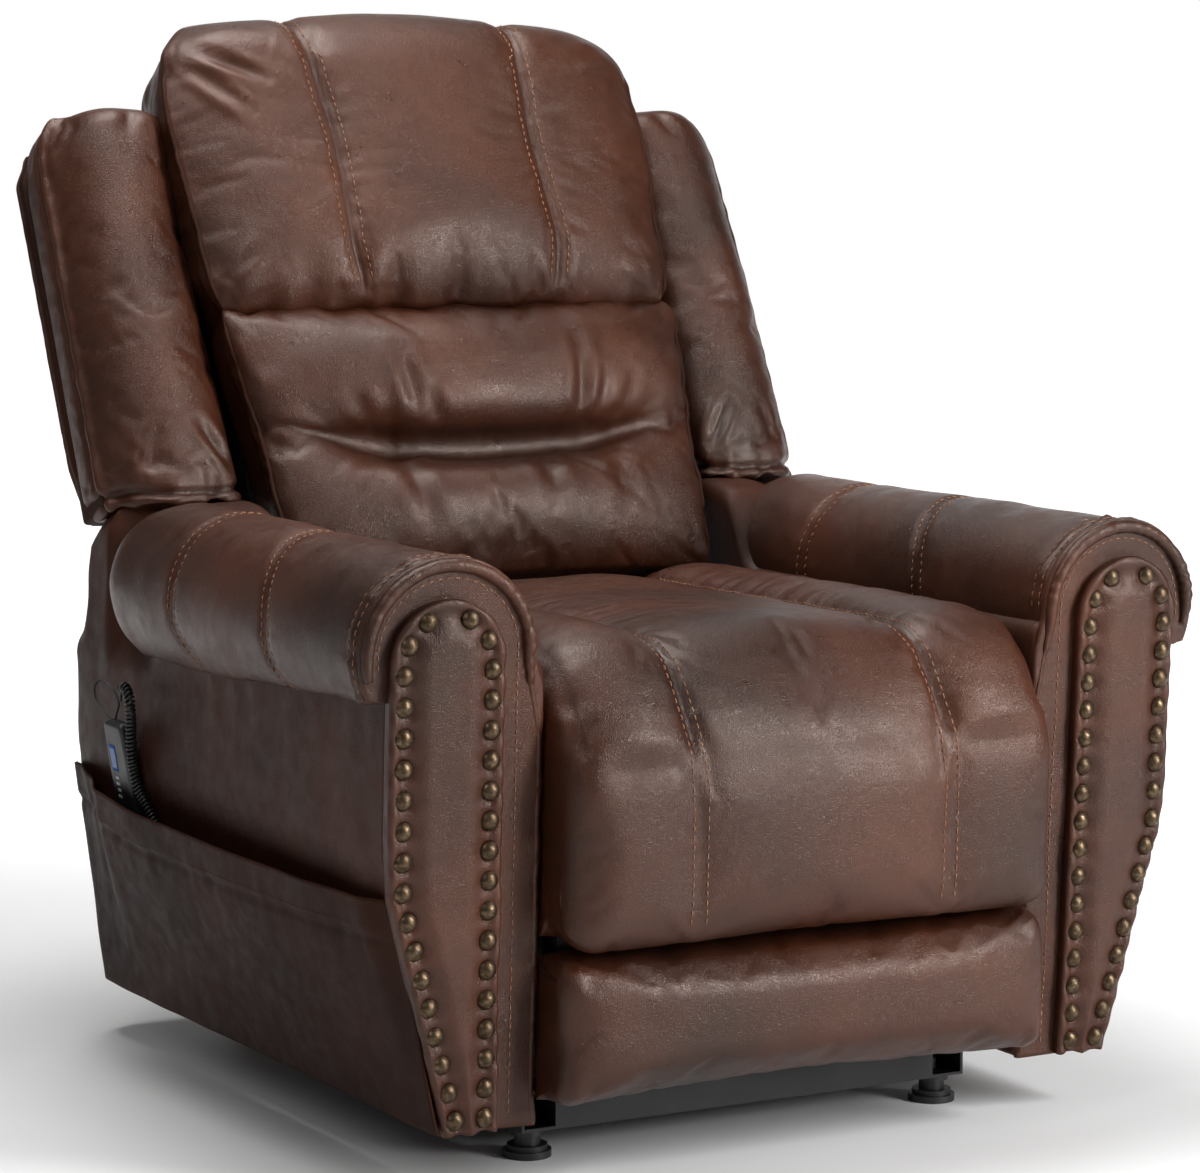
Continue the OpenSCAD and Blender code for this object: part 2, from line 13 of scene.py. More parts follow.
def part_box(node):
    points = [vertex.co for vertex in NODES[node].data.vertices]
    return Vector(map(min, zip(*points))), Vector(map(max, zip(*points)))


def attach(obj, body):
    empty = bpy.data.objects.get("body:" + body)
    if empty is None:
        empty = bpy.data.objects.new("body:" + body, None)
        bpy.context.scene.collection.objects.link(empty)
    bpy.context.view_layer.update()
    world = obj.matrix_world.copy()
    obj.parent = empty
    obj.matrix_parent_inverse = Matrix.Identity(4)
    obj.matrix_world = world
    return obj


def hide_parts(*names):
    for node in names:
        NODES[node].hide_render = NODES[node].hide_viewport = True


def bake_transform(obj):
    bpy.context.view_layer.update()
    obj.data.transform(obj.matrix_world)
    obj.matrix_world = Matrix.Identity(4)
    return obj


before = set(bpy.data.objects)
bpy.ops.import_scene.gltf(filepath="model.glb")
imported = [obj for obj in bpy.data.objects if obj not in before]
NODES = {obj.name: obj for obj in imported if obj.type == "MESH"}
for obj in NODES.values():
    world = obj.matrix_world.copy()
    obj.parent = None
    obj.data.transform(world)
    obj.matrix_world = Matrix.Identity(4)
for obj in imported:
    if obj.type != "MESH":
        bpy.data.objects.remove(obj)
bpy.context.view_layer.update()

# Backrest frame: hinge point, lean, then v to the rear and w up along the back
HINGE = (0.2, 0.42)
LEAN = math.radians(27)
# Arm: its front is a raked plane through this Y-Z point; the roll's middle is in X-Z
FACE = (-0.472, 0.5)
RAKE = math.radians(3.1)
ARM_IN = 0.276
ARM_REAR = 0.365
ARM_FOOT = 0.058
ROLL = (0.376, 0.516)
ROLL_R = 0.091
ROLL_END = 0.13
FLANK = 0.437
FLANK_FOOT = 0.378
FLANK_BEND = 0.33
HIP_R = 0.181
CORNER_R = 0.045
# How far up the back the lower and lumbar cushions meet
CREASE = 0.205
# Seat and legrest: X of the sewn channels, half width, and the height under which the pads rest on boards
SEAT_SEAM = 0.14
PAD_HALF = 0.2735
BELOW_SEAT = 0.43
# Thread stitches, and how far each of their rows is from the middle of a double seam
STITCH_PITCH = 0.009
ROW_GAP = 0.008
ROWS = (-ROW_GAP, ROW_GAP)
SIDES = ((-1, "r"), (1, "l"))


# ---------- camera and lights ----------
def aimed(name, data, place, target):
    """Puts a camera or light at a place, looking at its target."""
    obj = bpy.data.objects.new(name, data)
    obj.location = place
    obj.rotation_euler = (Vector(target) - Vector(place)).to_track_quat("-Z", "Y").to_euler()
    bpy.context.scene.collection.objects.link(obj)
    return obj


def camera(target, azimuth, elevation, distance, lens):
    data = bpy.data.cameras.new("camera")
    data.lens = lens
    data.sensor_width = 36
    data.clip_end = 50
    a, e = math.radians(azimuth), math.radians(elevation)
    back = Vector((math.sin(a) * math.cos(e), -math.cos(a) * math.cos(e), math.sin(e)))
    bpy.context.scene.camera = aimed("camera", data, Vector(target) + back * distance, target)


def area_light(name, place, target, size, power):
    data = bpy.data.lights.new(name, "AREA")
    data.shape = "RECTANGLE"
    data.size, data.size_y = size
    data.energy = power
    aimed(name, data, place, target)


camera(target=(0.0378, 0.0, 0.5079), azimuth=-28.25, elevation=6.6, distance=4.1462, lens=115.5)
area_light("key", (1.75, -2.9, 1.95), (0, 0, 0.6), size=(1.0, 2.5), power=172)
area_light("top", (-0.3, 0.5, 3.2), (0, 0, 0.4), size=(1.7, 1.3), power=84)
area_light("left_strip", (-2.6, -1.7, 2.6), (0, 0.1, 0.8), size=(0.5, 1.8), power=14)


# ---------- curves and outlines ----------
def smooth(t):
    t = np.clip(t, 0, 1)
    return t * t * (3 - 2 * t)


def mix(a, b, t):
    return a * (1 - t) + b * t


def along(path, closed=False):
    """Distance along a path at each of its points."""
    ends = np.vstack([path, path[:1]]) if closed else path
    return np.concatenate([[0], np.cumsum(norm(np.diff(ends, axis=0), axis=1))])


def resample(path, count, closed=False):
    """The path at count even steps; a closed one doesn't repeat its first point."""
    path = np.asarray(path, float)
    s = along(path, closed)
    ends = np.vstack([path, path[:1]]) if closed else path
    t = np.linspace(0, s[-1], count, endpoint=not closed)
    return np.stack([np.interp(t, s, ends[:, k]) for k in range(path.shape[1])], axis=1)


def rounded(corners, count):
    """Closed outline of count points through (a, b, radius) corners."""
    points = []
    for i, (a, b, r) in enumerate(corners):
        p = np.array([a, b])
        before = np.array(corners[i - 1][:2]) - p
        after = np.array(corners[(i + 1) % len(corners)][:2]) - p
        len0, len1 = norm(before), norm(after)
        half = math.acos(np.clip(before @ after / (len0 * len1), -0.999, 0.999)) / 2
        t = min(r / math.tan(half), 0.48 * len0, 0.48 * len1)
        p0, p1 = p + before / len0 * t, p + after / len1 * t
        for s in np.linspace(0, 1, 7):
            points.append((1 - s) ** 2 * p0 + 2 * s * (1 - s) * p + s * s * p1)
    return resample(points, count, closed=True)


def catmull(points, steps):
    """Smooth curve through the points, steps pieces between each pair."""
    p = np.asarray(points, float)
    p = np.vstack([2 * p[0] - p[1], p, 2 * p[-1] - p[-2]])
    out = []
    for i in range(1, len(p) - 2):
        for s in np.arange(steps) / steps:
            a, b, c, d = p[i - 1 : i + 3]
            out.append(
                0.5 * (2 * b + (c - a) * s + (2 * a - 5 * b + 4 * c - d) * s * s
                       + (3 * b - a - 3 * c + d) * s ** 3)
            )
    return np.array(out + [p[-2]])


def table(pairs):
    """Smooth function through (place, value) pairs."""
    xs, ys = np.array(pairs).T

    def value(x):
        i = np.clip(np.searchsorted(xs, x) - 1, 0, len(xs) - 2)
        return mix(ys[i], ys[i + 1], smooth((x - xs[i]) / (xs[i + 1] - xs[i])))

    return value


def noise(p, cells, seed=0):
    """Smooth noise from -1 to 1 at the points p; cells to the metre is one number, or one by axis."""
    q = np.asarray(p) * np.asarray(cells, float) + seed * 17.31
    cell = np.floor(q).astype(np.int64)
    f = q - cell
    f = f * f * (3 - 2 * f)
    total = np.zeros(len(q))
    for corner in np.ndindex(2, 2, 2):
        c = cell + np.array(corner)
        h = (c[:, 0] * 374761393 + c[:, 1] * 668265263 + c[:, 2] * 1440662683) & 0xFFFFFFFF
        h = ((h ^ (h >> 13)) * 1274126177) & 0xFFFFFFFF
        value = ((h ^ (h >> 16)) & 0xFFFF) / 32767.5 - 1
        total += value * np.prod(np.where(corner, f, 1 - f), axis=1)
    return total


def on_back(x, v, w):
    """Points in the chair's frame of backrest coordinates x, v, w."""
    x, v, w = np.broadcast_arrays(x, v, w)
    y = HINGE[0] + v * math.cos(LEAN) + w * math.sin(LEAN)
    z = HINGE[1] - v * math.sin(LEAN) + w * math.cos(LEAN)
    return np.stack([x, y, z], axis=-1)


def back_coords(p):
    """Backrest coordinates x, v, w of points in the chair's frame."""
    y, z = p[:, 1] - HINGE[0], p[:, 2] - HINGE[1]
    c, s = math.cos(LEAN), math.sin(LEAN)
    return p[:, 0], y * c - z * s, y * s + z * c


def face_y(z):
    """Y of the raked arm front at height z."""
    return FACE[0] - (z - FACE[1]) * math.tan(RAKE)


# ---------- meshes ----------
def mesh_object(name, verts, faces, material):
    mesh = bpy.data.meshes.new(name)
    mesh.from_pydata(np.asarray(verts).tolist(), [], faces)
    mesh.materials.append(material)
    mesh.shade_smooth()
    obj = bpy.data.objects.new(name, mesh)
    bpy.context.scene.collection.objects.link(obj)
    return obj


def face_out(obj):
    bm = bmesh.new()
    bm.from_mesh(obj.data)
    bmesh.ops.recalc_face_normals(bm, faces=bm.faces)
    bm.to_mesh(obj.data)
    bm.free()
    return obj


def skin(name, rings, material):
    """Mesh over rings of equal point counts, its two ends closed by strips across them."""
    rings = np.asarray(rings)
    n, m = rings.shape[:2]
    faces = [
        (i * m + j, i * m + (j + 1) % m, (i + 1) * m + (j + 1) % m, (i + 1) * m + j)
        for i in range(n - 1)
        for j in range(m)
    ]
    for first in (0, (n - 1) * m):
        faces += [(first + j, first + j + 1, first + m - 2 - j, first + m - 1 - j) for j in range(m // 2 - 1)]
    return face_out(mesh_object(name, rings.reshape(-1, 3), faces, material))


def coords(obj, kind="co"):
    values = np.empty(len(obj.data.vertices) * 3)
    obj.data.vertices.foreach_get(kind, values)
    return values.reshape(-1, 3)


def put(obj, co):
    obj.data.vertices.foreach_set("co", np.asarray(co).ravel())
    obj.data.update()
    return obj


def dress(obj, change):
    """Moves each vertex along its normal by change(points)."""
    co = coords(obj)
    return put(obj, co + coords(obj, "normal") * change(co)[:, None])


def applied(obj):
    dg = bpy.context.evaluated_depsgraph_get()
    mesh = bpy.data.meshes.new_from_object(obj.evaluated_get(dg))
    old = obj.data
    obj.modifiers.clear()
    obj.data = mesh
    bpy.data.meshes.remove(old)
    mesh.name = obj.name
    mesh.shade_smooth()
    return obj


def inflate(obj, held, pressure, slack, most, frames=18):
    """Puffs a closed mesh with a short cloth simulation; held(points) says which vertices stay put."""
    rest = coords(obj)
    group = obj.vertex_groups.new(name="held")
    group.add(np.flatnonzero(held(rest)).tolist(), 1.0, "REPLACE")
    cloth = obj.modifiers.new("cloth", "CLOTH")
    for key, value in dict(
        quality=4, mass=0.3, tension_stiffness=15, compression_stiffness=15, shear_stiffness=5,
        bending_stiffness=0.4, vertex_group_mass="held", shrink_min=-slack, use_pressure=True,
        uniform_pressure_force=pressure,
    ).items():
        setattr(cloth.settings, key, value)
    cloth.settings.effector_weights.gravity = 0
    cloth.collision_settings.use_collision = False
    cloth.point_cache.frame_start, cloth.point_cache.frame_end = 1, frames
    scene = bpy.context.scene
    scene.frame_start, scene.frame_end = 1, frames
    for f in range(1, frames + 1):
        scene.frame_set(f)
    applied(obj)
    obj.vertex_groups.clear()
    move = coords(obj) - rest
    far = norm(move, axis=1)
    scale = np.where(far > 1e-9, most * np.tanh(far / most) / np.maximum(far, 1e-9), 1)
    scene.frame_set(1)
    return put(obj, rest + move * scale[:, None])


def puff(obj, held, change, **how):
    """Inflates a cover, subdivides it and then dresses it."""
    inflate(obj, held, **how)
    obj.modifiers.new("finer", "SUBSURF").levels = 1
    return dress(applied(obj), change)


def finished(obj, body, *nodes, slot="leather", fill=None):
    """Rides a finished piece on its body, in place of its CAD nodes."""
    if nodes:
        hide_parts(*nodes)
    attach(obj, body)
    return obj


def carried_along(path, side=None):
    """Each point of a path with two directions across it, which turn no more than they must."""
    tangents = np.gradient(path, axis=0)
    tangents /= norm(tangents, axis=1)[:, None]
    side = np.cross(tangents[0], (0.31, 0.52, 0.79)) if side is None else side
    for p, t in zip(path, tangents):
        side = side - t * (side @ t)
        side /= norm(side)
        yield p, side, np.cross(t, side)


def tube(name, path, radius, material, sides):
    """Round tube along a path; radius is a number or one by point."""
    a = np.linspace(0, 2 * math.pi, sides, endpoint=False)[:, None]
    rings = [
        p + r * (np.cos(a) * side + np.sin(a) * up)
        for (p, side, up), r in zip(carried_along(path), np.broadcast_to(radius, len(path)))
    ]
    return skin(name, rings, material)


def surface(obj):
    return BVHTree.FromPolygons(
        coords(obj).tolist(), [tuple(p.vertices) for p in obj.data.polygons]
    )


def laid(tree, path):
    """Each point of the path on the surface, with the surface's normal there."""
    found = [tree.find_nearest(Vector(p)) for p in path]
    return np.array([f[0] for f in found]), np.array([f[1] for f in found])


# (place along the stitch, width, height) of its sections
STITCH_SHAPE = [(-0.5, 0.1, -0.35), (-0.36, 0.8, 0.15), (0, 1, 0.5), (0.36, 0.8, 0.15), (0.5, 0.1, -0.35)]


def stitches(name, cover, rows, material, length=0.0062, thick=0.0013):
    """One mesh with a row of thread stitches along each path, laid on the cover."""
    tree = surface(cover)
    verts, faces = [], []
    for row in rows:
        on, _ = laid(tree, resample(row, max(2, int(along(np.asarray(row))[-1] / 0.004))))
        count = max(2, int(along(on)[-1] / STITCH_PITCH))
        ends = resample(on, count * 2 + 1)
        middle, up = laid(tree, ends[1::2])
        step = ends[2::2] - ends[:-1:2]
        step /= np.maximum(norm(step, axis=1)[:, None], 1e-9)
        across = np.cross(step, up)
        for p, t, n, c in zip(middle, step, up, across):
            first = len(verts)
            for s, wide, high in STITCH_SHAPE:
                for k in range(6):
                    a = k * math.pi / 3
                    verts.append(
                        p + t * s * length + c * wide * thick / 2 * math.cos(a)
                        + n * (high * thick + wide * thick / 2 * math.sin(a))
                    )
            for r in range(len(STITCH_SHAPE) - 1):
                for k in range(6):
                    a, b = first + r * 6 + k, first + r * 6 + (k + 1) % 6
                    faces.append((a, b, b + 6, a + 6))
    return mesh_object(name, verts, faces, material)


# ---------- seams, puckers and folds ----------
def groove(s, depth, width):
    """Valley where the signed distance s is 0."""
    return -depth * np.exp(-(s / width) ** 2)


def gathers(p, amount, distance, reach, cells, seed=0):
    """Puckers that fade with distance from a seam."""
    return amount * np.exp(-distance / reach) * noise(p, cells, seed)


def double_seam(p, s, cells, depth=0.0065, pucker=0.0022, reach=0.022, seed=0):
    """A sewn channel between two stitch rows, with puckers beside it."""
    rows = groove(np.abs(s) - ROW_GAP, 0.0013, 0.0026)
    flat = groove(s, depth * 0.45, 0.013) + groove(s, depth * 0.55, 0.003)
    return rows + flat + gathers(p, pucker, np.abs(s), reach, cells, seed) * smooth(np.abs(s) / 0.006)


def fold(p, start, end, depth, width, ridge):
    """A crease pressed into the surface between two points, with a raised lip on each side."""
    a, b = np.array(start), np.array(end)
    t = np.clip((p - a) @ (b - a) / ((b - a) @ (b - a)), 0, 1)
    d = norm(p - (a + t[:, None] * (b - a)), axis=1)
    fade = np.sin(np.pi * np.clip(t * 0.9 + 0.05, 0, 1)) ** 0.7
    return fade * (groove(d, depth, width) - groove(d - 2 * width, depth * ridge, width))


def folded(p, folds):
    """All of a backrest cushion's folds: (start, end, depth, width, ridge), the ends as x, v, w."""
    return sum(fold(p, on_back(*a), on_back(*b), *how) for a, b, *how in folds)


def rumple(p, amount, cells=14, seed=0):
    """Slight unevenness of padding."""
    return amount * (noise(p, cells, seed) + 0.4 * noise(p, cells * 2.7, seed + 5))


# ---------- materials ----------
class Look:
    """The nodes of a material or of the world, with short calls that add to them."""

    def __init__(self, owner, space="Object"):
        owner.use_nodes = True
        self.owner, self.tree = owner, owner.node_tree
        self.place = self.add("TexCoord").outputs[space]

    def feed(self, socket, value):
        if isinstance(value, bpy.types.NodeSocket):
            self.tree.links.new(value, socket)
        else:
            socket.default_value = value

    def add(self, kind, *first, **values):
        """A new node: first fills its leading inputs, values its settings and the inputs they name."""
        n = self.tree.nodes.new("ShaderNode" + kind)
        for key, value in values.items():
            if hasattr(n, key):
                setattr(n, key, value)
            else:
                self.feed(n.inputs[key], value)
        for socket, value in zip(n.inputs, first):
            self.feed(socket, value)
        return n

    def texture(self, kind, output="Fac", **values):
        return self.add("Tex" + kind, self.place, **values).outputs[output]

    def ramp(self, source, *stops):
        """Colours between (place, colour or grey) stops."""
        r = self.add("ValToRGB", source)
        elements = r.color_ramp.elements
        while len(elements) < len(stops):
            elements.new(0.5)
        for element, (place, colour) in zip(elements, stops):
            element.position = place
            element.color = (*np.broadcast_to(colour, 3), 1)
        return r.outputs["Color"]

    def shade_and_wear(self, colour, factor, *stops):
        """The colour times a ramp over pointiness: painted shade that darkens the hollows, below 0.5, and
        lighter wear on the edges, above it.
        """
        edge = self.ramp(self.add("NewGeometry").outputs["Pointiness"], *stops)
        return self.multiplied(factor, colour, edge)

    def multiplied(self, factor, a, b):
        m = self.add("Mix", factor, data_type="RGBA", blend_type="MULTIPLY")
        self.feed(m.inputs[6], a)
        self.feed(m.inputs[7], b)
        return m.outputs[2]

    def bump(self, height, distance, strength, **under):
        values = dict(Height=height, Distance=distance, Strength=strength, **under)
        return self.add("Bump", **values).outputs["Normal"]

    def dot(self, a, b):
        return self.add("VectorMath", a, b, operation="DOT_PRODUCT").outputs["Value"]

    def stepped(self, *source_start_end_low_high):
        """Smooth step of a value from low at start to high at end."""
        step = self.add("MapRange", *source_start_end_low_high, interpolation_type="SMOOTHSTEP")
        return step.outputs["Result"]

    def finish(self, shader="Principled BSDF", **inputs):
        """Feeds the shader's inputs, _ for a space in their names, and returns the material."""
        for name, value in inputs.items():
            self.feed(self.tree.nodes[shader].inputs[name.replace("_", " ")], value)
        return self.owner


def new_look(name):
    return Look(bpy.data.materials.new(name))


def leather(name, dark, mid, light, rough, shine=0.5):
    """Two-tone leather: cloudy colour, pebbled grain, fine creases, lighter wear where it stands proud and
    painted shade in its hollows.
    """
    look = new_look(name)
    cloud = look.texture("Noise", Scale=4.5, Detail=4.0, Roughness=0.5, Distortion=0.3)
    mottle = look.texture("Noise", Scale=46.0, Detail=4.0, Roughness=0.6)
    pebble = look.texture("Voronoi", "Distance", Scale=520.0, feature="DISTANCE_TO_EDGE")
    pores = look.texture("Noise", Scale=900.0, Detail=2.0)
    crinkle = look.texture("Noise", Scale=95.0, Detail=4.0, Roughness=0.6, Distortion=1.2)
    tone = look.ramp(cloud, (0.3, dark), (0.52, mid), (0.74, light))
    colour = look.multiplied(0.6, tone, look.ramp(mottle, (0.35, 0.86), (0.65, 1.08)))
    creased = look.bump(crinkle, 0.0012, 0.3)
    grained = look.bump(look.ramp(pebble, (0.0, 0.0), (0.16, 1.0)), 0.0003, 0.5, Normal=creased)
    return look.finish(
        # Base colour: painted shade darkens the hollows, and wear lightens the edges that stand proud.
        Base_Color=look.shade_and_wear(colour, 0.7, (0.42, 0.35), (0.5, 1.0), (0.58, 1.45)),
        Roughness=look.ramp(mottle, (0.3, rough - 0.07), (0.7, rough + 0.1)),
        Normal=look.bump(pores, 0.00012, 0.4, Normal=grained),
        IOR=1.5, Specular_IOR_Level=shine, Specular_Tint=(1.0, 0.84, 0.76, 1),
    )


def moulded(name, colour, rough, cells=700.0, metal=0.0, depth=0.00012, wear=0.2):
    """Moulded plastic, powder coat or rubber: fine texture, slightly uneven gloss, painted shade in the
    hollows and lighter wear on the edges.
    """
    look = new_look(name)
    fine = look.texture("Noise", Scale=cells, Detail=3.0)
    broad = look.texture("Noise", Scale=24.0, Detail=4.0)
    dark, light = ([c * k for c in colour] for k in (1 - wear, 1 + wear))
    tone = look.ramp(broad, (0.3, dark), (0.7, light))
    return look.finish(
        # Base colour: painted shade in the hollows, lighter wear on the edges.
        Base_Color=look.shade_and_wear(tone, 0.6, (0.47, 0.8), (0.5, 1.0), (0.56, 1.5)),
        Roughness=look.ramp(broad, (0.3, rough - 0.06), (0.7, rough + 0.08)),
        Normal=look.bump(fine, depth, 0.6), Metallic=metal,
    )


def antique_brass():
    """Dark patina in the hollows, rubbed brass on the domes."""
    look = new_look("antique_brass")
    patina = look.texture("Noise", Scale=190.0, Detail=5.0, Roughness=0.65)
    return look.finish(
        Base_Color=look.ramp(patina, (0.3, (0.03, 0.019, 0.011)), (0.5, (0.085, 0.056, 0.033)),
                             (0.75, (0.2, 0.14, 0.085))),
        Roughness=look.ramp(patina, (0.3, 0.52), (0.7, 0.3)),
        Normal=look.bump(patina, 0.0005, 0.5), Metallic=0.9,
    )


def thread():
    """Waxed copper-coloured thread with its twist."""
    look = new_look("thread")
    twist = look.texture("Wave", Scale=420.0, Distortion=2.0, bands_direction="DIAGONAL")
    fleck = look.texture("Noise", Scale=160.0, Detail=3.0)
    return look.finish(
        Base_Color=look.ramp(fleck, (0.3, (0.2, 0.075, 0.035)), (0.7, (0.42, 0.19, 0.095))),
        Normal=look.bump(twist, 0.0003, 0.6), Roughness=0.55,
    )


def plywood():
    """Pale veneer with stretched grain."""
    look = new_look("plywood_grain")
    look.place = look.add("Mapping", look.place, Scale=(40.0, 3.0, 40.0)).outputs["Vector"]
    grain = look.texture("Noise", Scale=3.0, Detail=8.0, Distortion=0.6)
    return look.finish(
        Base_Color=look.ramp(grain, (0.3, (0.3, 0.17, 0.08)), (0.5, (0.5, 0.33, 0.18)),
                             (0.7, (0.62, 0.44, 0.26))),
        Normal=look.bump(grain, 0.0006, 0.4), Roughness=0.6,
    )


HIDE = leather("hide", (0.017, 0.005, 0.0024), (0.04, 0.011, 0.0045), (0.07, 0.0195, 0.0078), 0.34)
# A darker, duller copy of the hide: painted shade for pieces that stand in shade, namely the pocket, the
# outside of the back, the rear panel, the piping and the headrest board.
HIDE_PAINTED_SHADE = leather(
    "hide_dark", (0.012, 0.0045, 0.0028), (0.024, 0.008, 0.0045), (0.038, 0.013, 0.007), 0.52, 0.1)
HIDE_SIDE = leather(
    "hide_side", (0.018, 0.0058, 0.0032), (0.04, 0.0118, 0.0056), (0.06, 0.0185, 0.009), 0.46, 0.22)
THREAD = thread()
HIDE_THREAD = moulded("dark_thread", (0.03, 0.012, 0.008), 0.6, cells=300.0)
BRASS = antique_brass()
BLACK = moulded("black_plastic", (0.012, 0.012, 0.013), 0.42)
CORD = moulded("cord_rubber", (0.01, 0.01, 0.011), 0.36, cells=500.0)
GREY = moulded("grey_button", (0.1, 0.105, 0.11), 0.5)
PALE = moulded("pale_print", (0.42, 0.44, 0.46), 0.4)
BLUE = moulded("blue_print", (0.012, 0.085, 0.32), 0.3)
COAT = moulded("black_steel", (0.006, 0.006, 0.0065), 0.46, cells=900.0, metal=0.1)
STEEL = moulded("bright_steel", (0.42, 0.42, 0.43), 0.34, cells=260.0, metal=0.95, wear=0.1)
PLY = plywood()
CLOTH = moulded("lining_cloth", (0.016, 0.014, 0.013), 0.85, cells=1400.0, depth=0.0004)

CARRIED = {
    COAT: "base_rails base_crossbars lift_pivot_plates seat_rails seat_crossrails motor_bars back_posts "
          "back_rails headrest_hinge recline_torque_tube legrest_arms legrest_torque_tube "
          "back_hinge_plates legrest_hinge_plates carriage_plates",
    STEEL: "lift_torque_shaft lift_arms lift_stays lift_rod carriage_pins seat_springs legrest_rod "
           "recline_rod",
    BLACK: "levelling_feet lift_motor power_supply power_inlet cord_grommet legrest_motor recline_motor "
           "headrest_motor",
    PLY: "arm_frames",
    CLOTH: "legrest_board",
    # The headrest board takes the darker copy of the hide, which is painted shade.
    HIDE_PAINTED_SHADE: "headrest_board",
    BRASS: "nailheads",
    GREY: "button_up button_down button_head_up button_head_down",
}
for finish, names in CARRIED.items():
    for name in names.split():
        materials = NODES[name].data.materials
        materials.clear()
        materials.append(finish)


# ---------- handset cord ----------
CORD_ROUTE = [
    (-0.4593, 0.14, 0.3995), (-0.4595, 0.139, 0.406), (-0.46, 0.134, 0.413), (-0.46, 0.126, 0.416),
    (-0.46, 0.118, 0.413), (-0.46, 0.112, 0.405), (-0.4595, 0.111, 0.392), (-0.458, 0.114, 0.372),
    (-0.456, 0.118, 0.35), (-0.453, 0.121, 0.33), (-0.45, 0.114, 0.309), (-0.447, 0.096, 0.289),
    (-0.439, 0.07, 0.26), (-0.43, 0.045, 0.23), (-0.4215, 0.024, 0.2), (-0.415, 0.01, 0.175),
    (-0.41, 0.003, 0.157), (-0.407, 0.000, 0.147), (-0.4042, 0.000, 0.14),
]
COIL_R = 0.0043
COIL_PITCH = 0.0045
CORD_WIRE = 0.0032


def curly(route):
    """Centreline of a curly cord that starts and ends straight and coils in between."""
    route = catmull(route, 12)
    length = along(route)[-1]
    turns = (length - 0.02) / COIL_PITCH
    line = resample(route, int(turns * 14))
    s = along(line)
    reach = COIL_R * smooth((s - 0.006) / 0.012) * smooth((length - 0.006 - s) / 0.012)
    turn = s * 2 * math.pi / COIL_PITCH
    return np.array([
        p + r * (math.cos(a) * side + math.sin(a) * up)
        for (p, side, up), a, r in zip(carried_along(line, np.array([1.0, 0, 0])), turn, reach)
    ])


def handset_cord():
    path = curly(CORD_ROUTE)
    cord = tube("handset_curly_cord", path, CORD_WIRE / 2, CORD, sides=8)
    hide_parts("handset_cord")
    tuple(CORD_ROUTE[-1])
    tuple(CORD_ROUTE[0])
    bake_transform(cord)
    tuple(CORD_ROUTE[0])
    float(along(path)[-1])


handset_cord()


# ---------- seat and legrest ----------
def across(outline, half, edge, step):
    """Rings of a Y-Z outline from -half to half, rounded at both ends except at the pads' flat backs."""
    tangent = np.roll(outline, -1, axis=0) - np.roll(outline, 1, axis=0)
    inward = np.stack([-tangent[:, 1], tangent[:, 0]], axis=1)
    inward /= norm(inward, axis=1)[:, None]
    inward[(inward[:, 0] < -0.3) & (outline[:, 1] < BELOW_SEAT)] = 0
    angles = np.linspace(math.pi / 2, 0, 8)
    ends = [(half - edge + edge * math.sin(a), edge * (1 - math.cos(a))) for a in angles]
    flat = [(x, 0) for x in np.linspace(half - edge, -(half - edge), round(2 * (half - edge) / step))]
    rows = ends + flat[1:-1] + [(-x, d) for x, d in ends[::-1]]
    return [upright(x, outline + inward * d) for x, d in rows]


def upright(x, outline):
    """The Y-Z outline at one X."""
    return np.column_stack([np.full(len(outline), x), outline])


def between_arms(obj):
    """Keeps a cover clear of the arms' inner sides."""
    co = coords(obj)
    co[:, 0] = np.clip(co[:, 0], -PAD_HALF, PAD_HALF)
    return put(obj, co)


def seat_cover():
    """One cover from the seat's rear, over its front edge, to the bottom of the calf pad."""
    seat_lo, seat_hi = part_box("seat_cushion")
    calf_lo, calf_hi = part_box("calf_cushion")
    front, rear, top = calf_lo.y, seat_hi.y, seat_hi.z
    outline = rounded(
        [(rear, top - 0.004, 0.03), (front + 0.075, top + 0.006, 0.075), (front + 0.002, top - 0.1, 0.09),
         (front + 0.008, calf_lo.z - 0.011, 0.034), (calf_hi.y - 0.002, calf_lo.z + 0.004, 0.015),
         (calf_hi.y - 0.002, 0.404, 0.02), (-0.38, 0.412, 0.02), (rear, seat_lo.z + 0.002, 0.02)],
        300,
    )
    cover = skin("seat_and_calf_cover", across(outline, seat_hi.x + 0.006, 0.034, 0.006), HIDE)

    def held(p):
        x, y, z = np.abs(p[:, 0]), p[:, 1], p[:, 2]
        hidden = (z < BELOW_SEAT) & (y > calf_hi.y - 0.01) | (y > rear - 0.02)
        return (np.abs(x - SEAT_SEAM) < 0.004) | hidden | (x > seat_hi.x - 0.004)

    def shape(p):
        x, y, z = np.abs(p[:, 0]), p[:, 1], p[:, 2]
        d = 0.011 * np.sin(np.pi * np.clip((x - SEAT_SEAM) / 0.115, 0, 1)) ** 0.8
        d += 0.004 * (1 - np.clip(x / SEAT_SEAM, 0, 1) ** 2)
        d += double_seam(p, x - SEAT_SEAM, (14, 95, 95), seed=1, pucker=0.0016)
        d += gathers(p, 0.0035, seat_hi.x - x, 0.04, (10, 48, 48), 2)
        d += 0.0028 * smooth((calf_lo.z + 0.07 - z) / 0.06) * noise(p, (48, 48, 9), 3)
        d += rumple(p, 0.0015, 9, 4)
        return d * smooth((z - BELOW_SEAT) / 0.03 + smooth((calf_hi.y - 0.03 - y) / 0.03))

    puff(cover, held, shape, pressure=5.0, slack=0.008, most=0.02)
    between_arms(cover)
    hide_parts("seat_cushion", "calf_cushion")
    y, z = outline.T
    run = outline[((z > 0.45) | (y < front + 0.045)) & (y < rear - 0.0475) & (z > calf_lo.z + 0.012)]
    rows = [upright(side * (SEAT_SEAM + gap), run) for side in (-1, 1) for gap in ROWS]
    thread_rows = stitches("seat_stitches", cover, rows, THREAD)
    for piece in (cover, thread_rows):
        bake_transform(piece)


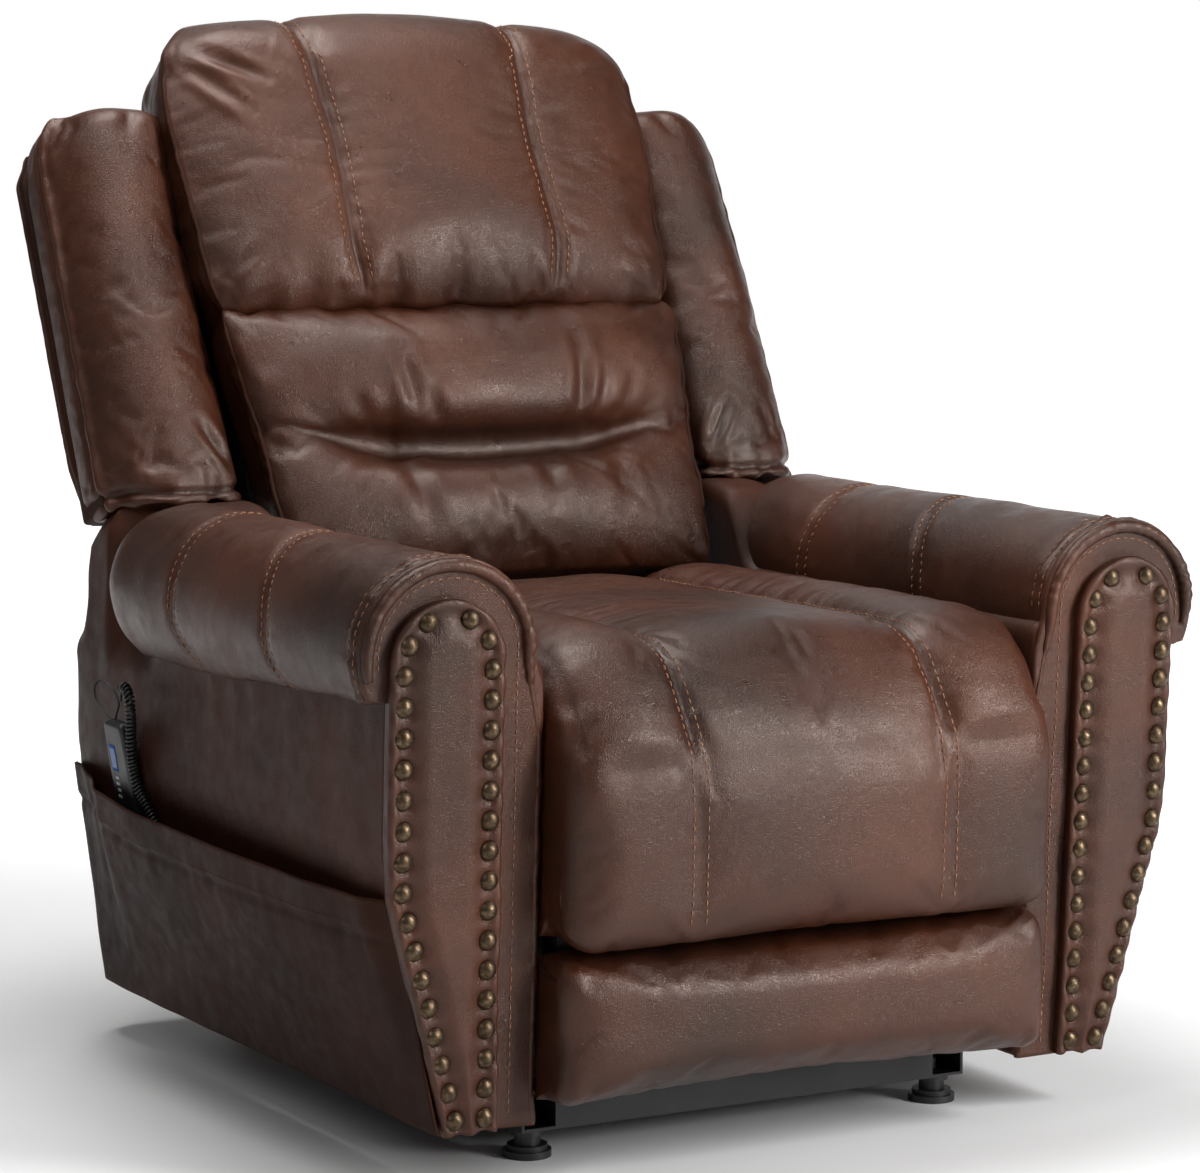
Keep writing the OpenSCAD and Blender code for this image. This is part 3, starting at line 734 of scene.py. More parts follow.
def foot_pad():
    """Separate pad below the calf section, gathered at both ends."""
    lo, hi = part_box("foot_cushion")
    outline = rounded(
        [(lo.y + 0.003, hi.z - 0.001, 0.03), (lo.y, lo.z + 0.002, 0.034), (hi.y, lo.z, 0.008),
         (hi.y, hi.z - 0.001, 0.008)], 90)
    pad = skin("foot_pad", across(outline, PAD_HALF, 0.02, 0.006), HIDE)

    def held(p):
        return (p[:, 1] > hi.y - 0.006) | (np.abs(p[:, 0]) > PAD_HALF - 0.009)

    def shape(p):
        d = gathers(p, 0.003, PAD_HALF - np.abs(p[:, 0]), 0.035, (9, 44, 44), 6)
        return (d + rumple(p, 0.0014, 10, 7)) * smooth((hi.y - 0.01 - p[:, 1]) / 0.02)

    puff(pad, held, shape, pressure=5.0, slack=0.01, most=0.016)
    between_arms(pad)
    finished(pad, "leg", "foot_cushion", fill=0.6)


seat_cover()
foot_pad()


# ---------- backrest ----------
def stations(lo, hi, step, foot, top):
    """(place, inset) from lo to hi; foot and top are the (height, inset) of the rounding at each end."""

    def end(place, height, depth):
        return [(place + height * (1 - math.cos(a)), depth * (1 - math.sin(a)))
                for a in np.linspace(0.02, math.pi / 2, 9)]

    a, b = lo + foot[0], hi - top[0]
    middle = [(w, 0) for w in np.linspace(a, b, max(3, round((b - a) / step)))]
    return end(lo, *foot) + middle[1:-1] + end(hi, -top[0], top[1])[::-1]


def inset(ring, by, wide=1.0):
    """The ring drawn in towards its middle by a distance, wide times that along its first axis."""
    lo, hi = ring.min(axis=0), ring.max(axis=0)
    half = (hi - lo) / 2
    centre = (hi + lo) / 2
    return centre + (ring - centre) * np.maximum(half - by * np.array([wide, 1]), 0.0008) / half


def bar(a0, a1, b0, b1, r0, r1, count):
    """Oblong ring, rounded by r0 along its b0 side and by r1 along its b1 side."""
    return rounded([(a0, b0, r0), (a1, b0, r0), (a1, b1, r1), (a0, b1, r1)], count)


def up_back(name, places, section, finish, wide=1.0, side=1, rise=None):
    """Skin over rings in x and v, from section(w), up the backrest; rise(ring, w) lifts a ring's points."""
    rings = []
    for w, by in places:
        ring = inset(section(w), by, wide)
        lifted = w if rise is None else w + rise(ring, w)
        rings.append(on_back(side * ring[:, 0], ring[:, 1], lifted))
    return skin(name, rings, finish)


def cushion(half, front, edge, rear, count):
    """Ring in x and v: a crowned front panel that meets flat sides at a seam."""
    x = np.linspace(-1, 1, 61)
    crown = (1 - np.abs(x) ** 2.6) ** 0.75
    panel = np.column_stack([x * half, edge + (front - edge) * crown])
    side = np.array([(half * 0.975, edge * 0.8 + rear * 0.2), (half * 0.955, rear)])
    return resample(np.vstack([panel, side, side[::-1] * (-1, 1)]), count, closed=True)


def ridge_seams(pad, name, half, v, w0, w1):
    """Sewn edges where a cushion's front panel meets its sides."""
    tree = surface(pad)
    w = np.linspace(w0, w1, 160)
    ends = np.minimum(smooth((w - w0) / 0.02), smooth((w1 - w) / 0.02))
    for side, tag in SIDES:
        path, out = laid(tree, on_back(side * (half(w) - 0.001), v, w))
        proud = (0.0006 + 0.0008 * noise(path, 90, 21)) * ends
        # The piping is drawn in the darker copy of the hide, which paints shade along the seams.
        yield tube(f"{name}_{tag}", path + out * proud[:, None], 0.0004 + 0.0026 * ends, HIDE_PAINTED_SHADE, sides=10)


def back_pad():
    """Lower and lumbar cushions in one cover, with a deep crease between them."""
    front = table([(0.04, -0.128), (0.12, -0.15), (CREASE, -0.136), (0.29, -0.154), (0.39, -0.122)])
    half = table([(0.04, 0.254), (0.15, 0.265), (0.4, 0.284)])
    places = stations(0.046, 0.384, 0.006, (0.02, 0.02), (0.03, 0.03))
    pad = up_back("back_pad_cover", places, lambda w: cushion(half(w), front(w), -0.1, -0.024, 230),
                  HIDE, 0.3)
    tops = [(-0.095, 0.222, 0.3, 0.006), (-0.075, 0.215, 0.265, 0.0045), (0.105, 0.22, 0.305, 0.00675),
            (0.125, 0.214, 0.262, 0.00375), (-0.15, 0.216, 0.25, 0.0045), (0.165, 0.222, 0.262, 0.0045)]
    lows = [(-0.12, 0.19, 0.1, 0.0038), (0.05, 0.19, 0.12, 0.0038), (0.15, 0.195, 0.11, 0.0038)]
    folds = [((x, -0.15, a), (x * spread, -0.15, b), depth, width, 0.4)
             for group, spread, width in ((tops, 1.12, 0.009), (lows, 0.9, 0.011))
             for x, a, b, depth in group]

    def crease_at(x):
        return CREASE - 0.008 + 0.034 * np.clip(np.abs(x) / 0.25, 0, 1) ** 2.5

    def held(p):
        x, v, w = back_coords(p)
        return (np.abs(w - crease_at(x)) < 0.004) & (np.abs(x) < 0.19) & (v < -0.1) | (v > -0.07)

    def shape(p):
        x, v, w = back_coords(p)
        deep = 0.15 + 0.85 * smooth((0.225 - np.abs(x)) / 0.11)
        s = w - crease_at(x)
        d = groove(s, 0.014, 0.008) * deep + groove(s + 0.01, 0.018, 0.026) * deep
        d -= groove(s - 0.04, 0.007, 0.03) * deep
        d += gathers(p, 0.003, np.abs(s), 0.04, (34, 7, 7), 11) * smooth(np.abs(s) / 0.008)
        d += gathers(p, 0.004, 0.372 - w, 0.035, (38, 7, 7), 12)
        d += gathers(p, 0.003, 0.27 - np.abs(x), 0.03, (8, 36, 36), 13)
        d += rumple(p, 0.0016, 8, 14) + folded(p, folds)
        return d * smooth((-0.085 - v) / 0.02)

    puff(pad, held, shape, pressure=4.5, slack=0.01, most=0.018)
    finished(pad, "back", "lower_back_cushion", "lumbar_cushion", fill=0.65)
    for seam in ridge_seams(pad, "back_pad_seam", half, -0.1, 0.066, 0.366):
        finished(seam, "back")


def head_pad():
    """Head cushion, crowned over the top, with two sewn channels."""
    edge_v = -0.098
    front = table([(0.36, -0.138), (0.45, -0.157), (0.62, -0.152), (0.74, -0.148)])
    half = table([(0.36, 0.28), (0.46, 0.29), (0.6, 0.297), (0.69, 0.292), (0.75, 0.268)])
    seam_x = table([(0.36, 0.118), (0.44, 0.128), (0.56, 0.124), (0.65, 0.13), (0.72, 0.136), (0.78, 0.138)])
    places = stations(0.374, 0.738, 0.006, (0.024, 0.026), (0.072, 0.082))
    pad = up_back("headrest_cover", places, lambda w: cushion(half(w), front(w), edge_v, 0.016, 250),
                  HIDE, 0.5,
                  rise=lambda ring, w: 0.008 * (1 - (ring[:, 0] / 0.28) ** 2) * smooth((w - 0.6) / 0.12))
    pleats = [
        ((-0.262, 0.716), (-0.178, 0.69), 0.009), ((-0.268, 0.69), (-0.19, 0.64), 0.008),
        ((-0.272, 0.664), (-0.215, 0.598), 0.006), ((-0.268, 0.392), (-0.215, 0.412), 0.008),
        ((-0.272, 0.402), (-0.232, 0.446), 0.006), ((0.268, 0.392), (0.215, 0.41), 0.008),
        ((0.266, 0.7), (0.205, 0.672), 0.006), ((0.272, 0.404), (0.236, 0.45), 0.005),
    ]
    folds = [((a[0], -0.125, a[1]), (b[0], -0.15, b[1]), depth, 0.0075, 0.6) for a, b, depth in pleats]

    def held(p):
        x, v, w = back_coords(p)
        seams = (np.abs(np.abs(x) - seam_x(w)) < 0.004) & (v < -0.02)
        edge = (np.abs(x) > half(w) - 0.004) & (np.abs(v - edge_v) < 0.008)
        return seams | edge | (v > -0.005)

    def shape(p):
        x, v, w = back_coords(p)
        seams = double_seam(p, np.abs(x) - seam_x(w), (12, 80, 80), depth=0.007, pucker=0.0016, seed=31)
        d = smooth((w - 0.372) / 0.02) * seams
        d += gathers(p, 0.004, half(w) - np.abs(x), 0.034, (9, 34, 34), 32)
        d += gathers(p, 0.004, w - 0.374, 0.03, (40, 7, 7), 33)
        d += rumple(p, 0.0016, 8, 34) + folded(p, folds)
        return d * smooth((0.005 - v) / 0.03)

    puff(pad, held, shape, pressure=4.5, slack=0.01, most=0.016)
    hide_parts("headrest_cushion")
    rows = []
    crown_w = 0.668
    for side in (-1, 1):
        for gap in ROWS:
            w = np.linspace(0.392, 0.69, 80)
            face = on_back(side * (seam_x(w) + gap), front(w), w)
            a = np.linspace(0.1, 1.75, 30)
            over = on_back(side * (0.137 + gap), -0.066 - 0.086 * np.cos(a), crown_w + 0.076 * np.sin(a))
            rows.append(np.vstack([face[w < crown_w], over]))
    thread_rows = stitches("headrest_stitches", pad, rows, THREAD)
    seams = list(ridge_seams(pad, "headrest_seam", half, edge_v, 0.378, 0.672))
    for piece in (pad, thread_rows, *seams):
        on_back(0, 0, 0.38)
        on_back(0, 0, 0.52)
        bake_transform(piece)


def wing(side, name, replaced):
    """Side wing of the back: a tall pillow, gathered where it rests above the arm."""
    inner, bottom, top = 0.289, 0.158, 0.644
    front = table([(0.15, 0.385), (0.3, 0.388), (0.66, 0.372)])
    outer = table([(0.15, 0.424), (0.2, 0.433), (0.56, 0.43), (0.66, 0.418)])
    folds = [((side * a[0], *a[1:]), (side * b[0], *b[1:]), *how) for a, b, *how in (
        ((0.3, -0.085, 0.205), (0.33, -0.088, 0.25), 0.005, 0.007, 0.6),
        ((0.392, -0.076, 0.196), (0.372, -0.088, 0.25), 0.0032, 0.009, 0.3),
        ((0.33, -0.088, 0.64), (0.346, -0.088, 0.596), 0.0032, 0.008, 0.3),
    )]

    def section(w):
        return rounded([(inner, -0.086, 0.03), (front(w), -0.09, 0.05), (outer(w), -0.03, 0.01),
                        (outer(w) + 0.003, 0.018, 0.006), (inner, 0.02, 0.01)], 86)

    def clear_of_arm(v):
        return np.sqrt(np.maximum(0.179 ** 2 - v ** 2, 0))

    def rise(ring, w):
        return np.clip(clear_of_arm(ring[:, 1]) - bottom, 0, None) * (1 - smooth((w - bottom) / 0.07))

    places = stations(bottom, top, 0.006, (0.008, 0.006), (0.034, 0.048))
    pillow = up_back(name, places, section, HIDE, 0.45, side, rise)

    def held(p):
        x, v, w = back_coords(p)
        return (v > 0.006) | (w < 0.19) | (np.abs(x) > outer(w) - 0.01) & (np.abs(v + 0.03) < 0.006)

    def shape(p):
        x, v, w = back_coords(p)
        foot = w - clear_of_arm(v)
        seam = v + 0.028
        d = gathers(p, 0.007, foot, 0.024, (70, 20, 7), 41) + groove(foot - 0.014, 0.006, 0.005)
        d += gathers(p, 0.0016, top - w, 0.04, (34, 26, 8), 42)
        piping = groove(seam - 0.006, 0.004, 0.004) - groove(seam + 0.003, 0.003, 0.005)
        piping += gathers(p, 0.0016, np.abs(seam), 0.014, 62, 43)
        d += piping * smooth((np.abs(x) - outer(w) + 0.03) / 0.015)
        d += rumple(p, 0.0015, 9, 44) + folded(p, folds)
        return d * smooth((0.018 - v) / 0.01)

    puff(pillow, held, shape, pressure=4.0, slack=0.01, most=0.014)
    finished(pillow, "back", replaced, fill=0.65)


def outside_back():
    """Upholstered outside of the back, with a welt sewn round its edge."""
    front, rear = 0.0225, 0.04
    half = table([(0.02, 0.262), (0.1785, 0.262), (0.183, 0.424), (0.26, 0.435), (0.59, 0.434),
                  (0.628, 0.42), (0.646, 0.35), (0.655, 0.288)])
    rings = []
    for w, by in stations(0.021, 0.655, 0.0065, (0.006, 0.006), (0.008, 0.006)):
        h = float(half(w))
        x, v = inset(bar(-h, h, front, rear, 0.004, 0.01, 250), by).T
        up = math.sin(math.pi * min(max((w - 0.02) / 0.635, 0), 1)) ** 0.4
        bulge = 0.009 * (1 - np.abs(x / h) ** 4) * up
        rings.append(on_back(x, v + bulge * smooth((v - 0.028) / 0.01), w))
    # The outside of the back takes the darker copy of the hide, which is painted shade.
    shell = skin("outside_back_cover", rings, HIDE_PAINTED_SHADE)

    def shape(p):
        x, v, w = back_coords(p)
        d = gathers(p, 0.0018, 0.43 - np.abs(x), 0.03, (8, 40, 40), 51)
        return (d + rumple(p, 0.0018, 7, 52)) * smooth((v - 0.028) / 0.01)

    finished(dress(shell, shape), "back", "back_shell")
    skirt = rounded([(0.4, -0.03, 0.004), (0.428, -0.03, 0.008), (0.433, 0.036, 0.008),
                     (0.4, 0.04, 0.004)], 60)
    for side, tag in SIDES:
        places = stations(0.184, 0.24, 0.005, (0.004, 0.003), (0.004, 0.003))
        # The skirts also take the darker copy of the hide, which is painted shade.
        finished(up_back(f"outside_back_skirt_{tag}", places, lambda w: skirt, HIDE_PAINTED_SHADE, side=side), "back")
    w = np.concatenate([np.linspace(0.2, 0.63, 90), np.linspace(0.632, 0.652, 12)])
    right = np.column_stack([0.004 - half(w), np.full(len(w), rear), w])
    line = on_back(*resample(np.vstack([right, (right * (-1, 1, 1))[::-1]]), 420).T)
    welt = tube("outside_back_welt", line + 0.0006 * noise(line, 80, 53)[:, None], 0.0042, HIDE, sides=10)
    finished(welt, "back")


back_pad()
head_pad()
wing(-1, "wing_cover_r", "wing_right")
wing(1, "wing_cover_l", "wing_left")
outside_back()


# ---------- arms ----------
def flank_foot(y):
    """Outer face of the side panel at its bottom: it stands further out to the rear."""
    return FLANK_FOOT + 0.024 * smooth((y + 0.45) / 0.8)


def rear_corner(y):
    """How far the outer face turns in at the arm's rear corner."""
    past = max(y - (ARM_REAR - CORNER_R), 0)
    return CORNER_R - math.sqrt(max(CORNER_R ** 2 - past ** 2, 0))


def arm_block(side, name, *replaced):
    """Arm cover below the roll: inner side, padded outside panel and the shoulder behind the roll."""

    def section(y):
        corner = rear_corner(y)
        out, foot = FLANK - corner, flank_foot(y) - corner * 0.6
        shoulder = float(smooth((y - 0.085) / 0.06))
        horn = float(smooth((y - 0.222) / 0.022) * (1 - smooth((y - 0.3) / 0.032)))
        hip = HINGE[1] + math.sqrt(max(HIP_R ** 2 - (y - HINGE[0]) ** 2, 0.04 ** 2)) - 0.002
        top = mix(0.508, hip, shoulder)
        over = mix(0.425, min(0.362, out - 0.05) + 0.054 * horn, shoulder)
        slope_x = mix(0.436, out - 0.04 + 0.032 * horn, shoulder)
        slope_z = mix(0.498, mix(min(0.51, top - 0.03), top - 0.02, horn), shoulder)
        return rounded(
            [(ARM_IN, ARM_FOOT, 0.004), (ARM_IN, top, 0.02),
             (over, top, 0.03 + (0.03 - 0.045 * horn) * shoulder), (slope_x, slope_z, 0.03 - 0.018 * horn),
             (out, 0.432, 0.012 + 0.02 * shoulder), (out, FLANK_BEND, 0.06), (foot, ARM_FOOT, 0.006)],
            176,
        )

    rings = []
    front, edge = -0.465, 0.016
    steps = [(y, 0) for y in np.linspace(front, ARM_REAR - edge, 118)]
    steps += [(ARM_REAR - edge * (1 - math.sin(a)), edge * (1 - math.cos(a)))
              for a in np.linspace(0.15, math.pi / 2, 7)]
    for y, by in steps:
        x, z = inset(section(y), by).T
        rake = (face_y(z) - front) * (1 - smooth((y - front) / 0.1))
        rings.append(np.column_stack([side * x, y + rake, z]))
    block = skin(name, rings, HIDE_SIDE)

    def shape(p):
        x, y, z = np.abs(p[:, 0]), p[:, 1], p[:, 2]
        outside = smooth((x - 0.34) / 0.03)
        d = rumple(p, 0.0022, 8, 61) * (0.3 + 0.7 * outside)
        d += outside * gathers(p, 0.003, np.abs(z - 0.44), 0.03, (8, 36, 10), 62)
        padding = np.sin(np.pi * np.clip((z - 0.06) / 0.37, 0, 1)) ** 0.8 * smooth((0.33 - y) / 0.05)
        d += outside * 0.0035 * padding
        d += 0.0024 * smooth((y - 0.13) / 0.05) * noise(p, (14, 14, 30), 63)
        return d * smooth((y + 0.44) / 0.03) * (1 - smooth((ARM_IN + 0.004 - x) / 0.003))

    finished(dress(block, shape), "chair", *replaced)


def roll_foot(y):
    """Height at which the roll's underside meets the side panel."""
    return 0.484 - 0.03 * smooth((y + 0.47) / 0.55)


BAND_FRONT = table([(-110, -0.004), (-90, -0.005), (0, 0.000), (90, -0.021), (140, -0.06)])
BAND_REAR = table([(-110, -0.242), (-90, -0.239), (0, -0.19), (90, -0.26), (140, -0.292)])


def roll_angle(p):
    """Degrees round the roll from its top, positive on the outside."""
    return np.degrees(np.arctan2(np.abs(p[:, 0]) - ROLL[0], p[:, 2] - ROLL[1]))


def roll_point(side, degrees, y, r=ROLL_R):
    a = np.radians(degrees)
    x, y, z = np.broadcast_arrays(side * (ROLL[0] + r * np.sin(a)), y, ROLL[1] + r * np.cos(a))
    return np.stack([x, y, z], axis=-1)


def arm_roll(side, name):
    """Rolled arm top with a domed rear end and two sewn bands."""
    front, r = -0.466, ROLL_R - 0.001
    a = np.linspace(-180, 180, 138, endpoint=False)
    rings = []
    for y in np.linspace(front, ROLL_END, 150):
        ring = roll_point(side, a, y, r)
        ring[:, 1] += (face_y(ring[:, 2]) + 0.468) * (1 - smooth((y - front) / 0.15))
        under = np.clip(roll_foot(y) - ring[:, 2], 0, None) * (np.abs(ring[:, 0]) > 0.4)
        ring[:, 2] += under - 0.01 * np.tanh(under / 0.01)
        rings.append(ring)
    for t in np.radians(np.linspace(3, 84, 26)):
        rings.append(roll_point(side, a, ROLL_END + 0.088 * math.sin(t), r * math.cos(t) ** 0.9))
    roll = skin(name, rings, HIDE)

    def shape(p):
        y, angle = p[:, 1], roll_angle(p)
        rim = y + 0.4595
        d = rumple(p, 0.0022, 9, 74)
        for band, seed in ((BAND_FRONT, 71), (BAND_REAR, 72)):
            d += double_seam(p, y - band(angle), (70, 14, 70), 0.0032, 0.0014, 0.02, seed)
        d -= groove(rim, 0.0026, 0.016) * noise(p, (95, 12, 95), 73)
        d += groove(np.abs(rim) - 0.006, 0.0012, 0.0024) - groove(rim, 0.0022, 0.007)
        d += 0.0022 * smooth((y - 0.06) / 0.06) * noise(p, (26, 12, 26), 75)
        return d * smooth((150 - np.abs(angle)) / 20) * smooth((y + 0.476) / 0.006)

    finished(dress(roll, shape), "chair", fill=0.8)
    angle = np.linspace(-104, 132, 60)
    rows = [roll_point(side, angle, band(angle) + gap) for band in (BAND_FRONT, BAND_REAR) for gap in ROWS]
    finished(stitches(name + "_stitches", roll, rows, THREAD), "chair")
    return roll


def front_plate(side, name, bottom, centre, radius, steps, edges, thick, behind, corner):
    """Plate on the raked arm front, between edges(z); steps is (steps up to the centre, angles above it)."""
    straight, angles = steps
    rings = []
    for z in [*np.linspace(bottom, centre, straight), *centre + radius * np.sin(np.linspace(*angles))]:
        ring = bar(*edges(z), -thick, behind, corner, 0.001, 96)
        rings.append(np.column_stack([side * ring[:, 0], face_y(z) + ring[:, 1], np.full(len(ring), z)]))
    return skin(name, rings, HIDE)


def arm_face(side, name):
    """Flat upholstered front of the arm, under the welt and the nailed panel."""

    def edges(z):
        reach = math.sqrt(max(ROLL_R ** 2 - (z - ROLL[1]) ** 2, 0))
        inner = ROLL[0] - reach if z > ROLL[1] else ARM_IN + 0.009 * float(smooth((z - 0.476) / 0.04))
        flank = float(np.interp(z, [ARM_FOOT, FLANK_BEND, 0.438], [FLANK_FOOT, FLANK, FLANK]))
        return inner, ROLL[0] + reach if z > 0.478 else flank

    steps = (110, (0.03, 1.5, 40))
    plate = front_plate(side, name, ARM_FOOT, ROLL[1], ROLL_R, steps, edges, 0.0035, 0.003, 0.006)

    def shape(p):
        d = gathers(p, 0.0022, np.abs(p[:, 0]) - ARM_IN, 0.016, (9, 40, 60), 81) + rumple(p, 0.0012, 16, 82)
        return d * smooth((face_y(p[:, 2]) + 0.001 - p[:, 1]) / 0.003)

    return finished(dress(plate, shape), "chair")


def nails(side):
    """Middles of the CAD nails on one arm."""
    bm = bmesh.new()
    bm.from_mesh(NODES["nailheads"].data)
    seen, middles = set(), []
    for v in bm.verts:
        if v in seen:
            continue
        island, todo = [], [v]
        seen.add(v)
        while todo:
            u = todo.pop()
            island.append(u.co.copy())
            near = [e.other_vert(u) for e in u.link_edges if e.other_vert(u) not in seen]
            seen.update(near)
            todo += near
        middles.append(np.mean(island, axis=0))
    bm.free()
    return np.array([m for m in middles if m[0] * side > 0])


def nailed_panel(side, name):
    """Convex padded panel on the arm front, pulled in under each nail."""
    radius, bottom = 0.058, 0.06
    cx, cz = 0.38, 0.51

    def edges(z):
        if z > cz:
            h = math.sqrt(max(radius ** 2 - (z - cz) ** 2, 0))
            return cx - h, cx + h
        low = np.interp(z, [bottom, 0.33, cz], [0.32, 0.322, cx - radius])
        high = np.interp(z, [bottom, 0.21, 0.29, 0.35, cz], [0.376, 0.414, 0.435, 0.438, cx + radius])
        return low, high

    steps = (150, (0.05, 1.52, 30))
    panel = front_plate(side, name, bottom, cz, radius, steps, edges, 0.0145, 0.001, 0.011)
    pins = nails(side)[:, [0, 2]]
    zs = np.linspace(bottom, cz + radius - 0.001, 90)
    lows, highs = np.array([edges(z) for z in zs]).T

    def shape(p):
        x, z = np.abs(p[:, 0]), p[:, 2]
        near = np.minimum(x - np.interp(z, zs, lows), np.interp(z, zs, highs) - x)
        near = np.minimum(near, np.where(z > cz, radius - np.hypot(x - cx, z - cz), 1))
        d = 0.006 * smooth((near - 0.012) / 0.028) - groove(near - 0.004, 0.003, 0.006)
        dips = [groove(norm(p[:, [0, 2]] - pin, axis=1), 0.0048, 0.0105) for pin in pins]
        d += np.min(dips, axis=0)
        d += gathers(p, 0.0016, np.abs(near - 0.013), 0.012, (60, 20, 60), 91)
        return (d + rumple(p, 0.001, 20, 92)) * smooth((face_y(z) - 0.006 - p[:, 1]) / 0.006)

    finished(dress(panel, shape), "chair", *(("arm_front_panels",) if side > 0 else ()), fill=0.5)


def arm_welt(side, name, plate, roll):
    """Gathered welt round the roll's front edge and down the inner edge, between two stitch rows."""

    def around(r, first, drop, edge, count):
        """X and Z round the roll's front at radius r, then down the inner edge."""
        a = np.radians(np.linspace(first, -90, count))
        arc = np.column_stack([ROLL[0] + r * np.sin(a), ROLL[1] + r * np.cos(a)])
        return np.vstack([arc, np.column_stack([ROLL[0] - r - edge, drop])])

    r = ROLL_R - 0.008
    drop = np.linspace(ROLL[1] - 0.004, 0.064, 110)
    x, z = resample(around(r, 104, drop, 0.0125 * smooth((ROLL[1] - drop) / 0.1), 150), 560).T
    bead = 0.003 + 0.0034 * smooth((z - 0.46) / 0.07)
    line = np.column_stack([side * x, face_y(z) - bead + 0.0012, z])
    line[:, 1] += 0.001 * noise(line, 110, 103)
    s = along(np.column_stack([x, z]))
    ripple = np.sin(s / 0.0021 + 5.0 * noise(line, 30, 101)) * (0.5 + noise(line, 22, 104))
    ripple += noise(line, 90, 102)
    welt = tube(name, line, bead * (1 + 0.07 * ripple * smooth((z - 0.44) / 0.07)), HIDE, sides=18)
    finished(welt, "chair", *(("arm_welts",) if side > 0 else ()))
    drop = np.linspace(ROLL[1] - 0.005, 0.07, 90)
    x, z = around(r - 0.0115, 100, drop, np.zeros(90), 70).T
    rows = [np.column_stack([side * x, face_y(z) - 0.004, z])]
    finished(stitches(name + "_face_stitches", plate, rows, THREAD), "chair")
    rows = [roll_point(side, np.linspace(112, -88, 80), y) for y in (-0.4655, -0.4535)]
    finished(stitches(name + "_roll_stitches", roll, rows, THREAD), "chair")


for side, tag in SIDES:
    word = "right" if side < 0 else "left"
    arm_block(side, f"arm_cover_{tag}", "arm_" + word, "side_panel_" + word)
    roll = arm_roll(side, f"arm_roll_{tag}")
    nailed_panel(side, f"nailed_panel_{tag}")
    arm_welt(side, f"arm_welt_{tag}", arm_face(side, f"arm_face_{tag}"), roll)


# ---------- handset pocket ----------
def pocket():
    """Leather pocket sewn to the outside of the right arm, standing open at its mouth."""
    front, rear, bottom, hem = -0.462, 0.345, 0.061, 0.04
    mouth = table([(-0.47, 0.288), (-0.2, 0.287), (0.06, 0.29), (0.2, 0.297), (0.31, 0.308),
                   (0.35, 0.304)])
    opening = table([(-0.463, -0.004), (-0.42, 0.01), (-0.3, 0.02), (-0.1, 0.026), (0.1, 0.03),
                     (0.19, 0.027), (0.26, 0.008), (0.318, -0.002), (0.35, -0.003)])
    up = np.linspace(0, 1, 60)
    rings = []
    for y in np.linspace(front, rear, 160):
        z = bottom + (mouth(y) - bottom) * up
        flank = np.interp(z, [ARM_FOOT, FLANK_BEND, 1], [flank_foot(y), FLANK, FLANK]) - rear_corner(y)
        x = flank + 0.003 + opening(y) * smooth(up * 1.15) + 0.003 * min(1, (y - front) / 0.05)
        outer, inner = np.column_stack([-x - 0.0022, z]), np.column_stack([-x, z + 0.0004])
        rings.append(np.insert(np.vstack([outer, inner[::-1]]), 1, y, axis=1))
    # The pocket takes the darker, duller copy of the hide, which paints the shade it stands in on the outside
    # of the arm.
    sheet = skin("pocket_sheet", rings, HIDE_PAINTED_SHADE)

    def shape(p):
        ys = np.linspace(front, rear, 60)
        below = np.interp(p[:, 1], ys, mouth(ys)) - p[:, 2]
        d = rumple(p, 0.0026, 7, 111)
        d += groove(below - hem, 0.0022, 0.005) + 0.0014 * smooth((hem - below) / 0.006)
        d += gathers(p, 0.0016, np.abs(below - hem), 0.02, (10, 50, 10), 112)
        return d * smooth((p[:, 1] - front) / 0.04)

    co = coords(sheet)
    co[:, 0] -= shape(co)
    put(sheet, co)
    finished(sheet, "chair", "handset_pocket")
    y = np.linspace(front + 0.012, rear - 0.012, 120)
    row = np.column_stack([np.full(len(y), -(FLANK + 0.04)), y, mouth(y) - 0.037])
    finished(stitches("pocket_stitches", sheet, [row], HIDE_THREAD, length=0.0045, thick=0.0009), "chair")


pocket()


